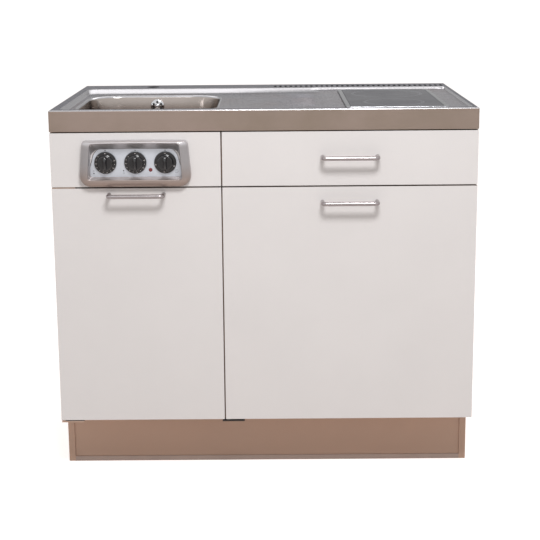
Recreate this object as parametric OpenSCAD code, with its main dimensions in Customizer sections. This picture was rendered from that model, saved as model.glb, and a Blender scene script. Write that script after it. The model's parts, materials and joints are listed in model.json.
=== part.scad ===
// Kitchenette unit: a two-bay base cabinet under a pressed stainless worktop with a sink bowl,
// a drainer and a two-zone glass hob. Millimetres, +Z up, floor at z = 0, fronts facing -Y.

/* [Cabinet] */
// Width of the unit
unit_w = 1000; // [940:10:1200]
// Height of the worktop above the floor
unit_h = 900; // [870:10:950]
// Depth of the worktop
top_d = 600; // [600:10:640]
// Thickness of the carcass boards
board_t = 16; // [15:1:18]
// Thickness of the back board
back_t = 3; // [3:1:6]
// Height of the toe space under the bottom board
kick_h = 140; // [100:10:160]
// Depth of the toe space behind the worktop's front edge
kick_d = 92; // [60:2:110]
// Height of the sealing strip along the floor
seal_h = 12; // [8:1:20]
// Depth of the front cross rails
rail_d = 46; // [40:2:50]
// Height of the rear cross rail
rear_rail_h = 80; // [60:10:100]
// Height of the shelf above the bottom board
shelf_rise = 270; // [200:10:330]

/* [Fronts] */
// Width of the left bay, measured at the fronts
left_bay_w = 400; // [380:5:430]
// Thickness of the fronts
front_t = 16; // [16:1:18]
// Gap between neighbouring fronts
front_gap = 3; // [3:0.5:4]
// Height of the drawer front and of the control panel
upper_front_h = 128; // [126:1:140]
// Setback of the fronts behind the worktop's front edge
lip_setback = 2; // [1:0.5:4]
// Gap between the closed doors and the carcass
door_clear = 2; // [2:0.5:3]

/* [Handles] */
// Diameter of the handle rod
rod_d = 10; // [8:1:12]
// Spacing of the handle's feet
handle_span = 128; // [96:32:160]
// Reach of the handle in front of a front
handle_reach = 35; // [30:1:40]
// Bend radius of the handle rod at its middle line
handle_bend = 8; // [7:1:12]
// Height of the drawer handle above the drawer front's lower edge
drawer_handle_z = 68; // [50:1:80]
// Depth of the left door's handle below the door's top edge
left_handle_drop = 15; // [12:1:60]
// Depth of the right door's handle below the door's top edge
right_handle_drop = 36; // [20:1:60]

/* [Worktop] */
// Height of the worktop's front edge
lip_h = 50; // [40:1:60]
// Thickness of the pressed steel sheet
sheet_t = 1; // [0.8:0.1:1.2]
// Outer bend radius along the front and side edges
lip_r = 4.5; // [3:0.5:6]
// Thickness of the core board below the deck
core_t = 28; // [22:1:28]
// Depth of the sink deck below the rim
deck_drop = 10; // [8:1:12]
// Depth of the hob deck below the rim
hob_drop = 5; // [4:0.5:5]
// Width of the left and front rim
rim_w = 22; // [16:1:30]
// Depth of the ledge along the wall
ledge_d = 84; // [80:1:100]
// Run of the long slope between deck and ledge
ledge_slope = 42; // [20:1:50]
// Number of vent slots in the ledge
slot_count = 33; // [10:1:33]
// Spacing of the vent slots
slot_pitch = 14.2; // [12:0.1:14.5]
// Width of a vent slot
slot_w = 6; // [4:0.5:8]
// Length of a vent slot
slot_l = 20; // [14:1:24]
// Diameter of the tap hole
tap_d = 35; // [32:1:35]
// Number of drainer ridges
ridge_count = 15; // [5:1:15]
// Spacing of the drainer ridges
ridge_pitch = 19; // [16:0.5:20]
// Length of a drainer ridge
ridge_l = 215; // [150:5:220]
// Height of a drainer ridge at its high end
ridge_h = 2; // [1:0.5:3]

/* [Sink] */
// Width of the bowl
bowl_w = 336; // [300:2:340]
// Depth of the bowl from front to back
bowl_d = 340; // [300:2:344]
// Depth of the bowl below the deck
bowl_h = 155; // [130:5:160]
// Corner radius of the bowl
bowl_r = 78; // [60:2:110]
// Radius between the bowl's walls and its floor
bowl_fillet = 42; // [25:1:50]
// Draft of the bowl's walls over their height
bowl_draft = 6; // [2:1:12]
// Diameter of the waste hole in the bowl's floor
waste_d = 90; // [80:1:92]
// Diameter of the overflow rosette
rosette_d = 36; // [30:1:44]
// Height of the overflow's middle below the deck
overflow_drop = 27; // [24:1:40]
// Outer diameter of the waste pipe
pipe_d = 40; // [32:8:40]
// Wall of the waste pipe
pipe_t = 2; // [1.5:0.5:3]

/* [Hob] */
// Width of the glass plate
glass_w = 220; // [200:5:230]
// Depth of the glass plate
glass_d = 397; // [370:1:400]
// Thickness of the glass plate
glass_t = 4; // [4:0.5:5]
// Width of the steel frame around the glass
frame_w = 11; // [8:1:14]
// Diameter of the front cooking zone
front_zone_d = 145; // [120:5:150]
// Diameter of the rear cooking zone
rear_zone_d = 180; // [150:5:190]
// Height of a heating element
element_h = 24; // [18:1:26]

/* [Controls] */
// Spacing of the three knobs
knob_pitch = 70; // [62:1:72]
// Diameter of a knob's skirt
knob_d = 52; // [40:1:56]
// Height of a knob in front of the control plate
knob_h = 21; // [16:1:24]
// Reach of the moulded surround in front of the panel
hood_reach = 22; // [16:1:28]
// Diameter of a switch spindle
spindle_d = 6; // [6:1:8]
// Diameter of the pilot lamp
lamp_d = 9; // [6:1:12]

/* [Drawer] */
// Depth of the drawer box
drawer_d = 450; // [420:10:480]
// Height of the drawer box's sides
drawer_side_h = 90; // [70:5:95]
// Thickness of the drawer box's sides
drawer_t = 12; // [12:1:15]
// Space for a runner beside the drawer box
runner_space = 13; // [12.5:0.5:14]
// Travel of the drawer
drawer_travel = 400; // [300:10:400]

/* [Hidden] */

$fn = 64;
hull_fn = 32;

// Clearances
side_reveal = 0.5;
fit_gap = 0.05;
run_gap = 0.3;
lip_gap = 3;
rear_air = 4;
eps = 0.01;

// Depth planes
overall_d = top_d + handle_reach - lip_setback;
y_lip = -overall_d / 2 + handle_reach - lip_setback;
y_face = y_lip + lip_setback;
y_front_back = y_face + front_t;
y_carcass = y_front_back + door_clear;
y_rear = y_lip + top_d;
y_boards_end = y_rear - rear_air - back_t;
y_plinth = y_lip + kick_d;

// Height levels
z_lip = unit_h - lip_h;
z_fronts_top = z_lip - lip_gap;
z_upper = z_fronts_top - upper_front_h;
z_door_top = z_upper - front_gap;
z_bottom_top = kick_h + board_t;
z_door = kick_h + front_gap;
z_deck = unit_h - deck_drop;
z_hob_deck = unit_h - hob_drop;
z_core = z_deck - sheet_t - core_t;
z_rail = z_lip - board_t;
z_mid_rail = z_upper - front_gap + run_gap - board_t;
z_shelf = z_bottom_top + shelf_rise;

// Widths
half_w = unit_w / 2;
x_split = -half_w + left_bay_w;
x_inner = half_w - board_t;
x_partition_left = x_split - board_t / 2;
x_partition_right = x_split + board_t / 2;
x_front_left = -half_w + side_reveal;
x_left_end = x_split - front_gap / 2;
x_right_start = x_split + front_gap / 2;
x_front_right = half_w - side_reveal;
right_bay_mid = (x_partition_right + x_inner) / 2;
right_front_mid = (x_right_start + x_front_right) / 2;
left_front_mid = (x_front_left + x_left_end) / 2;

// Shelf and the rows of holes for its pins
shelf_setback = 30;
shelf_air = 20;
row_setback = 67;
row_pitch = 32;
row_hole_r = 2.5;
row_hole_l = 9;
row_ys = [y_carcass + row_setback, y_boards_end - row_setback];

// Hinge pivots: set in from the door's edge and behind its face
pivot_in = 5.5;
pivot_back = 6;
hinge_pin_r = 3;
hinge_pin_l = 12;
hinge_plate_w = 54;
hinge_plate_d = 60;
top_plate_t = 2;
bottom_plate_t = 3;

// Sink and drainer layout
bowl_from_side = 48;
bowl_from_front = 75;
drainer_run = 245;
tap_from_side = 193;
tap_from_wall = 48;
slots_from_side = 17;
slots_from_wall = 45;
bowl_x = -half_w + bowl_from_side + bowl_w / 2;
bowl_y = y_lip + bowl_from_front + bowl_d / 2;
z_bowl = z_deck - bowl_h;
waste_y = bowl_y + 20;
overflow_screw_r = 2.5;
overflow_boss_r = rosette_d / 2 - 1;
overflow_pipe_r = 9;
overflow_wall_y = bowl_y + bowl_d / 2 + sheet_t - bowl_inset(overflow_drop - overflow_boss_r) + run_gap;
overflow_pipe_y = overflow_wall_y + 24;
drainer_end = x_partition_right + drainer_run;
tap_x = -half_w + tap_from_side;
tap_y = y_rear - tap_from_wall;
slot_x0 = half_w - slots_from_side - (slot_count - 1) * slot_pitch;
slot_y = y_rear - slots_from_wall;
dish_r = 24;
dish_run = 8;
ridge_r = 12;
ridge_end = drainer_end - 26;
ridge_y0 = y_lip + 140;

// Waste parts below the bowl
flange_t = 2;
waste_body_r = waste_d / 2 - 6;
waste_body_h = 46;
neck_r = pipe_d / 2 - 2;
neck_h = 90;
trap_r = 36;
trap_h = 120;
trap_wall = 3;
outlet_l = 16;
washer_l = 4;
z_waste_body = z_bowl - sheet_t - waste_body_h;
z_trap_top = z_waste_body - 14;
z_waste_pipe = z_trap_top - pipe_d / 2 - 10;
pipe_end = y_rear - rear_air;
service_w = 220;
service_below = 170;
service_above = 90;
z_service_low = z_waste_pipe - service_below;
z_service_high = z_waste_pipe + service_above;

// Hob layout
hob_from_side = 185;
hob_from_front = 36;
hob_w = glass_w + 2 * frame_w;
hob_d = glass_d + 2 * frame_w;
hob_x = half_w - hob_from_side;
hob_y = y_lip + hob_from_front + hob_d / 2;
z_glass = z_hob_deck + run_gap;
z_glass_top = z_glass + glass_t;
frame_rise = glass_t + 0.5;
tray_t = 1;
z_tray = z_lip + 1;
tray_in = 6;
tray_w = glass_w - 2 * tray_in;
tray_d = glass_d - 2 * tray_in;
front_zone_y = hob_y - glass_d / 2 + 22 + front_zone_d / 2;
rear_zone_y = hob_y + glass_d / 2 - 16 - rear_zone_d / 2;
z_element = z_glass - element_h;

// Control panel layout
knobs_from_side = 199;
knob_x = -half_w + knobs_from_side;
knob_z = z_upper + 57.5;
plate_back = 2;
plate_t = 1.5;
y_plate = y_face + plate_back;
y_hood = y_face - hood_reach;
plate_half_w = 106.5;
plate_low = knob_z - 33;
plate_high = knob_z + 31.5;
plate_corner = 24;
surround_low = z_upper + 1.5;
surround_high = knob_z + 54.5;
surround_top_half = 123;
surround_low_half = 133;
surround_r = 28;
surround_top_r = 13;
crown = 1.5;
opening_top_half = surround_top_half - 18;
opening_low_half = surround_low_half - 22;
opening_high = surround_high - 5;
opening_low = surround_low + 17;
opening_top_r = 9;
opening_low_r = 6;
moulding_t = 2.5;
collar_w = 4;
knob_gap = 1;
switch_w = 42;
switch_d = 38;
bush_r = spindle_d / 2 + 3;
lamp_x = knob_x + knob_pitch / 2;
lamp_z = knob_z - 17.5;

// Mains connection
box_w = 80;
box_depth = 32;
box_below = 18;
box_lap = 20;
gland_r = 8;
gland_stem = 12;
cable_r = 5;
gland_x = x_partition_left - 92;
gland_z = z_service_high - 18;

// Drawer and runners
z_drawer = z_upper + 14;
drawer_w = x_inner - x_partition_right - 2 * runner_space;
drawer_x0 = x_partition_right + runner_space;
drawer_x1 = x_inner - runner_space;
drawer_y1 = y_front_back + drawer_d;
drawer_floor_t = 4;
drawer_floor_rise = 8;
runner_l = drawer_d - 20;
runner_t = 1.2;
roller_r = 8.5;
roller_w = 6;
channel_h = 2 * roller_r + 2 * run_gap;
z_channel = z_upper + 1;
front_roller_y = y_carcass + 14;
rear_roller_y = front_roller_y + 2 * roller_r + 2 + drawer_travel;
z_front_roller = z_channel + runner_t + channel_h / 2 + 4;

steel = "silver";
chipboard = "burlywood";
front_white = "whitesmoke";
carcass_grey = "rosybrown";
dark_plastic = [0.12, 0.12, 0.13];

// ---------- shared shapes ----------

// A board from its lowest to its highest corner
module board(low, high) {
    translate(low) cube(high - low);
}

// A flat rounded rectangle standing on its lower corner
module rounded_plate(low, high, r) {
    size = high - low;
    translate(low)
        linear_extrude(size[2])
            rounded_rect(size[0], size[1], r);
}

// A rounded rectangle with its corner at the origin
module rounded_rect(w, d, r) {
    translate([r, 0]) square([w - 2 * r, d]);
    translate([0, r]) square([w, d - 2 * r]);
    for (x = [r, w - r])
        for (y = [r, d - r])
            translate([x, y]) circle(r);
}

// A cylinder along +Y
module rod_y(r, y0, y1, x, z) {
    translate([x, y0, z]) rotate([-90, 0, 0]) cylinder(r = r, h = y1 - y0);
}

// A cylinder along +X
module rod_x(r, x0, x1, y, z) {
    translate([x0, y, z]) rotate([0, 90, 0]) cylinder(r = r, h = x1 - x0);
}

// An upright cylinder
module rod_z(r, z0, z1, x, y) {
    translate([x, y, z0]) cylinder(r = r, h = z1 - z0);
}

// ---------- carcass ----------

// Side outline: the toe space is notched out of the lower front corner
module side_board(x0) {
    difference() {
        board([x0, y_carcass, 0], [x0 + board_t, y_boards_end, z_lip]);
        board([x0 - 1, y_carcass - 1, -1], [x0 + board_t + 1, y_plinth, kick_h]);
    }
}

module left_side_panel() {
    color(carcass_grey) side_board(-half_w);
}

module right_side_panel() {
    color(carcass_grey) difference() {
        side_board(x_inner);
        pin_rows(x_inner - 1, x_inner + row_hole_l);
    }
}

// Two rows of holes, in which the shelf's pins can be moved up and down
module pin_rows(x0, x1) {
    for (y = row_ys)
        for (i = [-2 : 2])
            rod_x(row_hole_r, x0, x1, y, z_shelf - row_hole_r + i * row_pitch, $fn = 16);
}

module bottom_panel() {
    color(carcass_grey)
        board([-x_inner, y_carcass, kick_h], [x_inner, y_boards_end, z_bottom_top]);
}

// The upright between the bays, with its front upper corner notched for the front rail
module centre_partition() {
    color(carcass_grey) difference() {
        board([x_partition_left, y_carcass, z_bottom_top], [x_partition_right, y_boards_end, z_lip]);
        board([x_partition_left - 1, y_carcass - 1, z_rail],
              [x_partition_right + 1, y_carcass + rail_d, z_lip + 1]);
        board([x_partition_left - 1, y_boards_end - board_t, z_lip - rear_rail_h],
              [x_partition_right + 1, y_boards_end + 1, z_lip + 1]);
        pin_rows(x_partition_right - row_hole_l, x_partition_right + 1);
    }
}

module plinth_board() {
    color(carcass_grey)
        board([-x_inner, y_plinth + 3, 0], [x_inner, y_plinth + 3 + board_t, kick_h]);
}

// Soft strip with a foot, pressed on the plinth's lower edge
module plinth_seal() {
    color("gainsboro") board([-x_inner, y_plinth, 0], [x_inner, y_plinth + 3, seal_h]);
}

// Back board with the opening for water and waste behind the left bay
module back_panel() {
    color("tan") difference() {
        board([-half_w, y_boards_end, kick_h], [half_w, y_boards_end + back_t, z_lip]);
        rounded_hole(bowl_x, service_w, z_service_low, z_service_high);
    }
}

module rounded_hole(x_mid, w, z0, z1) {
    translate([x_mid - w / 2, y_boards_end + back_t + 1, z0])
        rotate([90, 0, 0])
            linear_extrude(back_t + 2)
                rounded_rect(w, z1 - z0, 20);
}

module front_rail() {
    color(chipboard) board([-x_inner, y_carcass, z_rail], [x_inner, y_carcass + rail_d, z_lip]);
}

module rear_rail() {
    color(chipboard)
        board([-x_inner, y_boards_end - board_t, z_lip - rear_rail_h], [x_inner, y_boards_end, z_lip]);
}

module left_mid_rail() {
    color(chipboard)
        board([-x_inner, y_carcass, z_mid_rail],
              [x_partition_left, y_carcass + rail_d, z_mid_rail + board_t]);
}

module right_mid_rail() {
    color(chipboard)
        board([x_partition_right, y_carcass, z_mid_rail],
              [x_inner, y_carcass + rail_d, z_mid_rail + board_t]);
}

module shelf() {
    color(carcass_grey)
        board([x_partition_right + 1, y_carcass + shelf_setback, z_shelf],
              [x_inner - 1, y_boards_end - shelf_air, z_shelf + board_t]);
}

// Four pins under the shelf: a stem in the board's hole, a collar and a rest
module shelf_pins() {
    rest_l = 8;
    collar_t = 1.5;
    stem_r = row_hole_r - fit_gap;
    stem_l = row_hole_l - 1;
    z = z_shelf - row_hole_r;
    color("gold")
        for (y = row_ys) {
            rod_x(row_hole_r, x_partition_right, x_partition_right + rest_l, y, z, $fn = 24);
            rod_x(stem_r, x_partition_right - stem_l, x_partition_right, y, z, $fn = 24);
            rod_x(row_hole_r, x_inner - rest_l, x_inner, y, z, $fn = 24);
            rod_x(stem_r, x_inner, x_inner + stem_l, y, z, $fn = 24);
            for (x = [x_partition_right, x_inner - collar_t])
                board([x, y - 4, z - 6], [x + collar_t, y + 4, z]);
        }
}

// ---------- fronts ----------

// Outline of the control plate, seen from the front, grown on every side
module plate_outline(grow) {
    hull() {
        for (side = [-1, 1]) {
            translate([side * (plate_half_w - plate_corner - 10), plate_high - plate_corner])
                circle(plate_corner + grow, $fn = 48);
            translate([side * (plate_half_w - 6), plate_low + 6])
                circle(6 + grow, $fn = 24);
        }
    }
}

// Outline of the moulded surround, drawn in on every side, and by less along the top
module surround_outline(inset, top_inset) {
    top_r = surround_top_r - inset;
    hull() {
        for (side = [-1, 1]) {
            translate([side * (surround_top_half - surround_top_r), surround_high - top_inset - top_r])
                circle(top_r, $fn = 24);
            translate([side * (surround_low_half - surround_r), surround_low + surround_r + crown])
                circle(surround_r - inset, $fn = 48);
            translate([side * 30, surround_low + 10]) circle(10 - inset, $fn = 24);
        }
    }
}

// A front outline pushed along +Y from y0 to y1, centred on the knobs
module push_y(y0, y1) {
    translate([knob_x, y1, 0]) rotate([90, 0, 0]) linear_extrude(y1 - y0) children();
}

module control_front_panel() {
    color(front_white) difference() {
        board([x_front_left, y_face, z_upper], [x_left_end, y_front_back, z_fronts_top]);
        push_y(y_face - 1, y_front_back + 1) plate_outline(collar_w + 0.5);
    }
}

// Two steel angles that hold the control panel to the carcass
module panel_brackets() {
    leg = 30;
    t = door_clear;
    z0 = z_upper + 12;
    z1 = z_rail - 2;
    color(steel) {
        board([-half_w + 1, y_front_back, z0], [-x_inner + t, y_carcass, z1]);
        board([-x_inner, y_front_back, z0], [-x_inner + t, y_front_back + leg, z1]);
        board([x_partition_left - t, y_front_back, z0], [x_left_end - 1, y_carcass, z1]);
        board([x_partition_left - t, y_front_back, z0], [x_partition_left, y_front_back + leg, z1]);
    }
}

// A door with a blind hole for the hinge pins in its upper and lower edge
module door(x0, x1) {
    px = x0 + pivot_in;
    py = y_face + pivot_back;
    color(front_white) difference() {
        board([x0, y_face, z_door], [x1, y_front_back, z_door_top]);
        rod_z(hinge_pin_r + fit_gap, z_door - 1, z_door + hinge_pin_l + 1, px, py);
        rod_z(hinge_pin_r + fit_gap, z_door_top - hinge_pin_l - 1, z_door_top + 1, px, py);
    }
}

module left_door() {
    door(x_front_left, x_left_end);
}

module right_door() {
    door(x_right_start, x_front_right);
}

// Upper and lower pivot plates, each with its pin
module hinge_plates(x0, from, to, bay) {
    px = x0 + pivot_in;
    py = y_face + pivot_back;
    z_low = kick_h - bottom_plate_t;
    z_high = z_mid_rail + board_t;
    color("dimgray") {
        board([from, y_face + 1, z_low], [to, y_carcass + hinge_plate_d, kick_h]);
        rod_z(hinge_pin_r + 2, z_low + 1, z_door - run_gap, px, py);
        rod_z(hinge_pin_r, z_low + 1, z_door + hinge_pin_l, px, py);
        board([from, y_face + 1, z_high], [to, y_carcass, z_high + top_plate_t]);
        board([bay, y_carcass, z_high], [to, y_carcass + rail_d - 6, z_high + top_plate_t]);
        rod_z(hinge_pin_r, z_door_top - hinge_pin_l, z_high + 1, px, py);
    }
}

module left_door_hinges() {
    hinge_plates(x_front_left, x_front_left + 1, x_front_left + 1 + hinge_plate_w, -x_inner);
}

module right_door_hinges() {
    hinge_plates(x_right_start, x_partition_left + 1, x_partition_left + 1 + hinge_plate_w,
                 x_partition_right);
}

// Magnet blocks under the middle rails, near each door's free edge
module door_catches() {
    block = [46, 12, 14];
    from_board = 60;
    color("dimgray")
        for (x = [x_partition_left - from_board, x_inner - from_board])
            translate([x - block[0] / 2, y_carcass, z_mid_rail - block[2]]) cube(block);
}

// ---------- handles ----------

// Rod handle: a straight grip between two bends and two feet
module rod_handle(x_mid, z) {
    half = handle_span / 2;
    y_rod = y_face - handle_reach + rod_d / 2;
    color(steel) {
        rod_x(rod_d / 2, x_mid - half + handle_bend, x_mid + half - handle_bend, y_rod, z);
        for (side = [-1, 1]) {
            rod_y(rod_d / 2, y_rod + handle_bend, y_face, x_mid + side * half, z);
            translate([x_mid + side * (half - handle_bend), y_rod + handle_bend, z])
                rotate([0, 0, side > 0 ? -90 : -180])
                    rotate_extrude(angle = 90)
                        translate([handle_bend, 0]) circle(rod_d / 2);
        }
    }
}

module drawer_handle() {
    rod_handle(right_front_mid, z_upper + drawer_handle_z);
}

module left_door_handle() {
    rod_handle(left_front_mid, z_door_top - left_handle_drop);
}

module right_door_handle() {
    rod_handle(right_front_mid, z_door_top - right_handle_drop);
}

// ---------- worktop ----------

// Outer form of the worktop: rounded along its front and side edges and at its front corners
module top_block(inset, z_low) {
    r = lip_r - inset;
    x = half_w - lip_r;
    y = y_lip + lip_r;
    z = unit_h - lip_r;
    y1 = y_rear - inset;
    hull() {
        rod_x(r, -x, x, y, z, $fn = 24);
        for (side = [-1, 1]) {
            rod_y(r, y, y1, side * x, z, $fn = 24);
            rod_z(r, z_low, z, side * x, y, $fn = 24);
            translate([side * x, y, z]) sphere(r, $fn = 24);
        }
        board([-half_w + inset, y1 - 1, z_low], [half_w - inset, y1, z]);
    }
}

// Dished area with sloping walls, from its floor outline to its rim outline
module dish(floor_low, floor_high, rim_low, rim_high, z_floor, r, floor_r) {
    hull() {
        for (x = [floor_low[0] + floor_r, floor_high[0] - floor_r])
            for (y = [floor_low[1] + floor_r, floor_high[1] - floor_r])
                translate([x, y, z_floor]) cylinder(r = floor_r, h = eps, $fn = hull_fn);
        for (x = [rim_low[0] + r, rim_high[0] - r])
            for (y = [rim_low[1] + r, rim_high[1] - r])
                translate([x, y, unit_h]) cylinder(r = r, h = 2 * sheet_t, $fn = hull_fn);
    }
}

// The sink deck and the shallower hob deck, both dished into the top
module dishes() {
    hob_run = 4;
    step_run = 12;
    right_rim_w = 12;
    hob_r = 12;
    y_ledge = y_rear - ledge_d;
    dish([-half_w + rim_w + dish_run, y_lip + rim_w + dish_run],
         [drainer_end - step_run, y_ledge - ledge_slope],
         [-half_w + rim_w, y_lip + rim_w],
         [drainer_end, y_ledge], z_deck, dish_r, dish_r - dish_run);
    dish([drainer_end - step_run / 2, y_lip + rim_w],
         [half_w - right_rim_w - hob_run, y_ledge + 10 - hob_run],
         [drainer_end - step_run / 2 - hob_run, y_lip + rim_w - hob_run],
         [half_w - right_rim_w, y_ledge + 10], z_hob_deck, hob_r, hob_r);
}

// Everything that is cut right through the worktop
module top_cutouts(grow) {
    translate([bowl_x - bowl_w / 2 - grow, bowl_y - bowl_d / 2 - grow, z_core - 1])
        linear_extrude(unit_h)
            rounded_rect(bowl_w + 2 * grow, bowl_d + 2 * grow, bowl_r + grow);
    board([hob_x - tray_w / 2 - 1, hob_y - tray_d / 2 - 1, z_core - 1],
          [hob_x + tray_w / 2 + 1, hob_y + tray_d / 2 + 1, unit_h + 1]);
    rod_z(tap_d / 2, z_core - 1, unit_h + 1, tap_x, tap_y);
}

// One drainer ridge: a capsule sunk and tilted so that it fades out towards the bowl
module ridge(y) {
    tilt = atan(ridge_h / ridge_l);
    intersection() {
        translate([ridge_end, y, z_deck + ridge_h - ridge_r])
            rotate([0, -tilt, 0]) {
                sphere(ridge_r);
                rotate([0, -90, 0]) cylinder(r = ridge_r, h = ridge_l);
            }
        board([ridge_end - ridge_l, y - ridge_r, z_deck - sheet_t / 2],
              [ridge_end + ridge_r, y + ridge_r, unit_h]);
    }
}

module vent_slot(x) {
    translate([x - slot_w / 2, slot_y - slot_l / 2, z_core])
        linear_extrude(unit_h)
            rounded_rect(slot_w, slot_l, slot_w / 2 - eps);
}

module worktop_sheet() {
    color(steel) {
        difference() {
            top_block(0, z_lip);
            difference() {
                top_block(sheet_t, z_lip - 1);
                translate([0, 0, -sheet_t]) dishes();
            }
            dishes();
            top_cutouts(0);
            for (i = [0 : slot_count - 1]) vent_slot(slot_x0 + i * slot_pitch);
            board([-half_w - 1, y_rear - sheet_t - 1, z_lip - 1], [half_w + 1, y_rear + 1, z_lip + 20]);
        }
        for (i = [0 : ridge_count - 1]) ridge(ridge_y0 + i * ridge_pitch);
    }
}

// Core board routed to back the pressed sheet, and kept clear of the bowl and behind the vent slots
module worktop_core() {
    core_air = 13;
    slots_w = (slot_count - 1) * slot_pitch + slot_w;
    color(chipboard) difference() {
        top_block(sheet_t, z_core);
        translate([0, 0, -sheet_t]) dishes();
        top_cutouts(core_air);
        board([slot_x0 - slot_w / 2 - 2, slot_y - slot_l / 2 - 2, z_core - 1],
              [slot_x0 - slot_w / 2 + slots_w + 2, slot_y + slot_l / 2 + core_air, unit_h]);
        board([bowl_x - overflow_boss_r - 4, bowl_y, z_core - 1],
              [bowl_x + overflow_boss_r + 4, overflow_pipe_y + overflow_pipe_r + 4,
               z_deck - overflow_drop + overflow_boss_r + 3]);
    }
}

// Battens that thicken the worktop's edge down to the lower end of its lip
module worktop_battens() {
    front_d = 42;
    side_w = 30;
    x = half_w - sheet_t;
    y0 = y_lip + sheet_t;
    y1 = y_rear - sheet_t;
    color(chipboard) intersection() {
        top_block(sheet_t, z_lip);
        difference() {
            board([-x, y0, z_lip], [x, y1, z_core]);
            board([-x + side_w, y0 + front_d, z_lip - 1], [x - side_w, y1 - side_w, z_core + 1]);
        }
    }
}

// ---------- sink ----------

// Wall of the bowl turned about one corner: straight draft, then a round into the floor
function bowl_wall(grow) = concat(
    [[0, z_bowl - grow], [0, z_deck + 1], [bowl_r + grow, z_deck + 1]],
    [for (a = [0 : 15 : 90])
        [bowl_r + grow - bowl_draft - bowl_fillet * (1 - cos(a)),
         z_bowl - grow + bowl_fillet * (1 - sin(a))]]);

module bowl_form(grow) {
    hull()
        for (sx = [-1, 1])
            for (sy = [-1, 1])
                translate([bowl_x + sx * (bowl_w / 2 - bowl_r), bowl_y + sy * (bowl_d / 2 - bowl_r), 0])
                    rotate_extrude($fn = hull_fn) polygon(bowl_wall(grow));
}

module sink_bowl() {
    y_wall = bowl_y + bowl_d / 2;
    color(steel) difference() {
        bowl_form(sheet_t);
        bowl_form(0);
        board([-half_w, y_lip, z_deck - sheet_t], [half_w, y_rear, unit_h]);
        rod_z(waste_d / 2 - 12, z_bowl - 5, z_bowl + 5, bowl_x, waste_y);
        rod_y(rosette_d / 2 - 4, y_wall - 12, y_wall + 4, bowl_x, z_deck - overflow_drop);
    }
}

// How far the bowl's wall has drawn in at a depth below the deck
function bowl_inset(drop) = bowl_draft * (drop + 1) / (bowl_h + 1 - bowl_fillet);

// Pierced chrome cover of the overflow, with its screw
module overflow_rosette() {
    y_seat = bowl_y + bowl_d / 2 - bowl_inset(overflow_drop + rosette_d / 2) - run_gap;
    z = z_deck - overflow_drop;
    hole_ring = rosette_d / 2 - 8;
    color(steel) {
        difference() {
            rod_y(rosette_d / 2, y_seat - 3, y_seat, bowl_x, z);
            for (a = [0 : 60 : 300])
                rod_y(2.8, y_seat - 4, y_seat + 1, bowl_x + hole_ring * cos(a), z + hole_ring * sin(a));
        }
        rod_y(overflow_screw_r + 1.5, y_seat - 4, y_seat - 2, bowl_x, z);
        rod_y(overflow_screw_r, y_seat - 3, y_seat + 18, bowl_x, z);
    }
}

// Overflow elbow behind the bowl and its pipe down to the waste body
module overflow_pipe() {
    r = overflow_pipe_r;
    y_wall = overflow_wall_y;
    y_pipe = overflow_pipe_y;
    z = z_deck - overflow_drop;
    z_turn = z_waste_body + waste_body_h / 2;
    y_join = waste_y + waste_body_r + run_gap;
    color(dark_plastic) {
        difference() {
            rod_y(overflow_boss_r, y_wall, y_wall + 20, bowl_x, z);
            rod_y(overflow_boss_r - 3, y_wall - 1, y_wall + 8, bowl_x, z);
            rod_y(overflow_screw_r + run_gap, y_wall, y_wall + 18, bowl_x, z);
        }
        rod_y(r, y_wall + 19, y_pipe, bowl_x, z);
        translate([bowl_x, y_pipe, z]) sphere(r);
        rod_z(r, z_turn, z, bowl_x, y_pipe);
        translate([bowl_x, y_pipe, z_turn]) sphere(r);
        rod_y(r, y_join, y_pipe, bowl_x, z_turn);
    }
}

// Steel dish of the waste, seated in the bowl's floor
module waste_flange() {
    r = waste_d / 2;
    seat = r - 14;
    color(steel)
        translate([bowl_x, waste_y, z_bowl])
            rotate_extrude()
                polygon([[26, -22], [seat - 1, -22], [seat - 1, 0], [r, 0], [r, 1],
                         [r - 4, flange_t], [seat - 3, flange_t], [seat - 3, -20], [26, -20]]);
}

// Lift-out strainer basket with its knob
module strainer_basket() {
    r = waste_d / 2 - 14 - 3 - run_gap;
    z0 = -20 + run_gap;
    color(steel)
        translate([bowl_x, waste_y, z_bowl]) difference() {
            union() {
                rotate_extrude()
                    polygon([[0, z0], [r - 3, z0], [r, z0 + 3], [r, 0.5], [r - 1.5, 0.5],
                             [r - 1.5, z0 + 4], [r - 4, z0 + 1.5], [4, z0 + 1.5], [3, z0 + 12],
                             [6, z0 + 17], [5, z0 + 20], [0, z0 + 21]]);
            }
            for (ring = [[10, 6], [19, 12]])
                for (i = [0 : ring[1] - 1])
                    rotate(i * 360 / ring[1])
                        translate([ring[0], 0, z0 - 1]) cylinder(r = 2.2, h = 3.2, $fn = 16);
        }
}

// Plastic cup clamped under the bowl, with the neck of the trap
module waste_body() {
    top = -sheet_t;
    seat = waste_d / 2 - 14 + run_gap;
    color(dark_plastic)
        translate([bowl_x, waste_y, z_bowl])
            rotate_extrude()
                polygon([[neck_r - pipe_t, -waste_body_h - neck_h], [neck_r, -waste_body_h - neck_h],
                         [neck_r, -waste_body_h + 6], [waste_body_r - 6, -waste_body_h + 12],
                         [waste_body_r, -waste_body_h + 20], [waste_body_r, top],
                         [seat, top], [seat, -26], [neck_r - pipe_t, -34]]);
}

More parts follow.
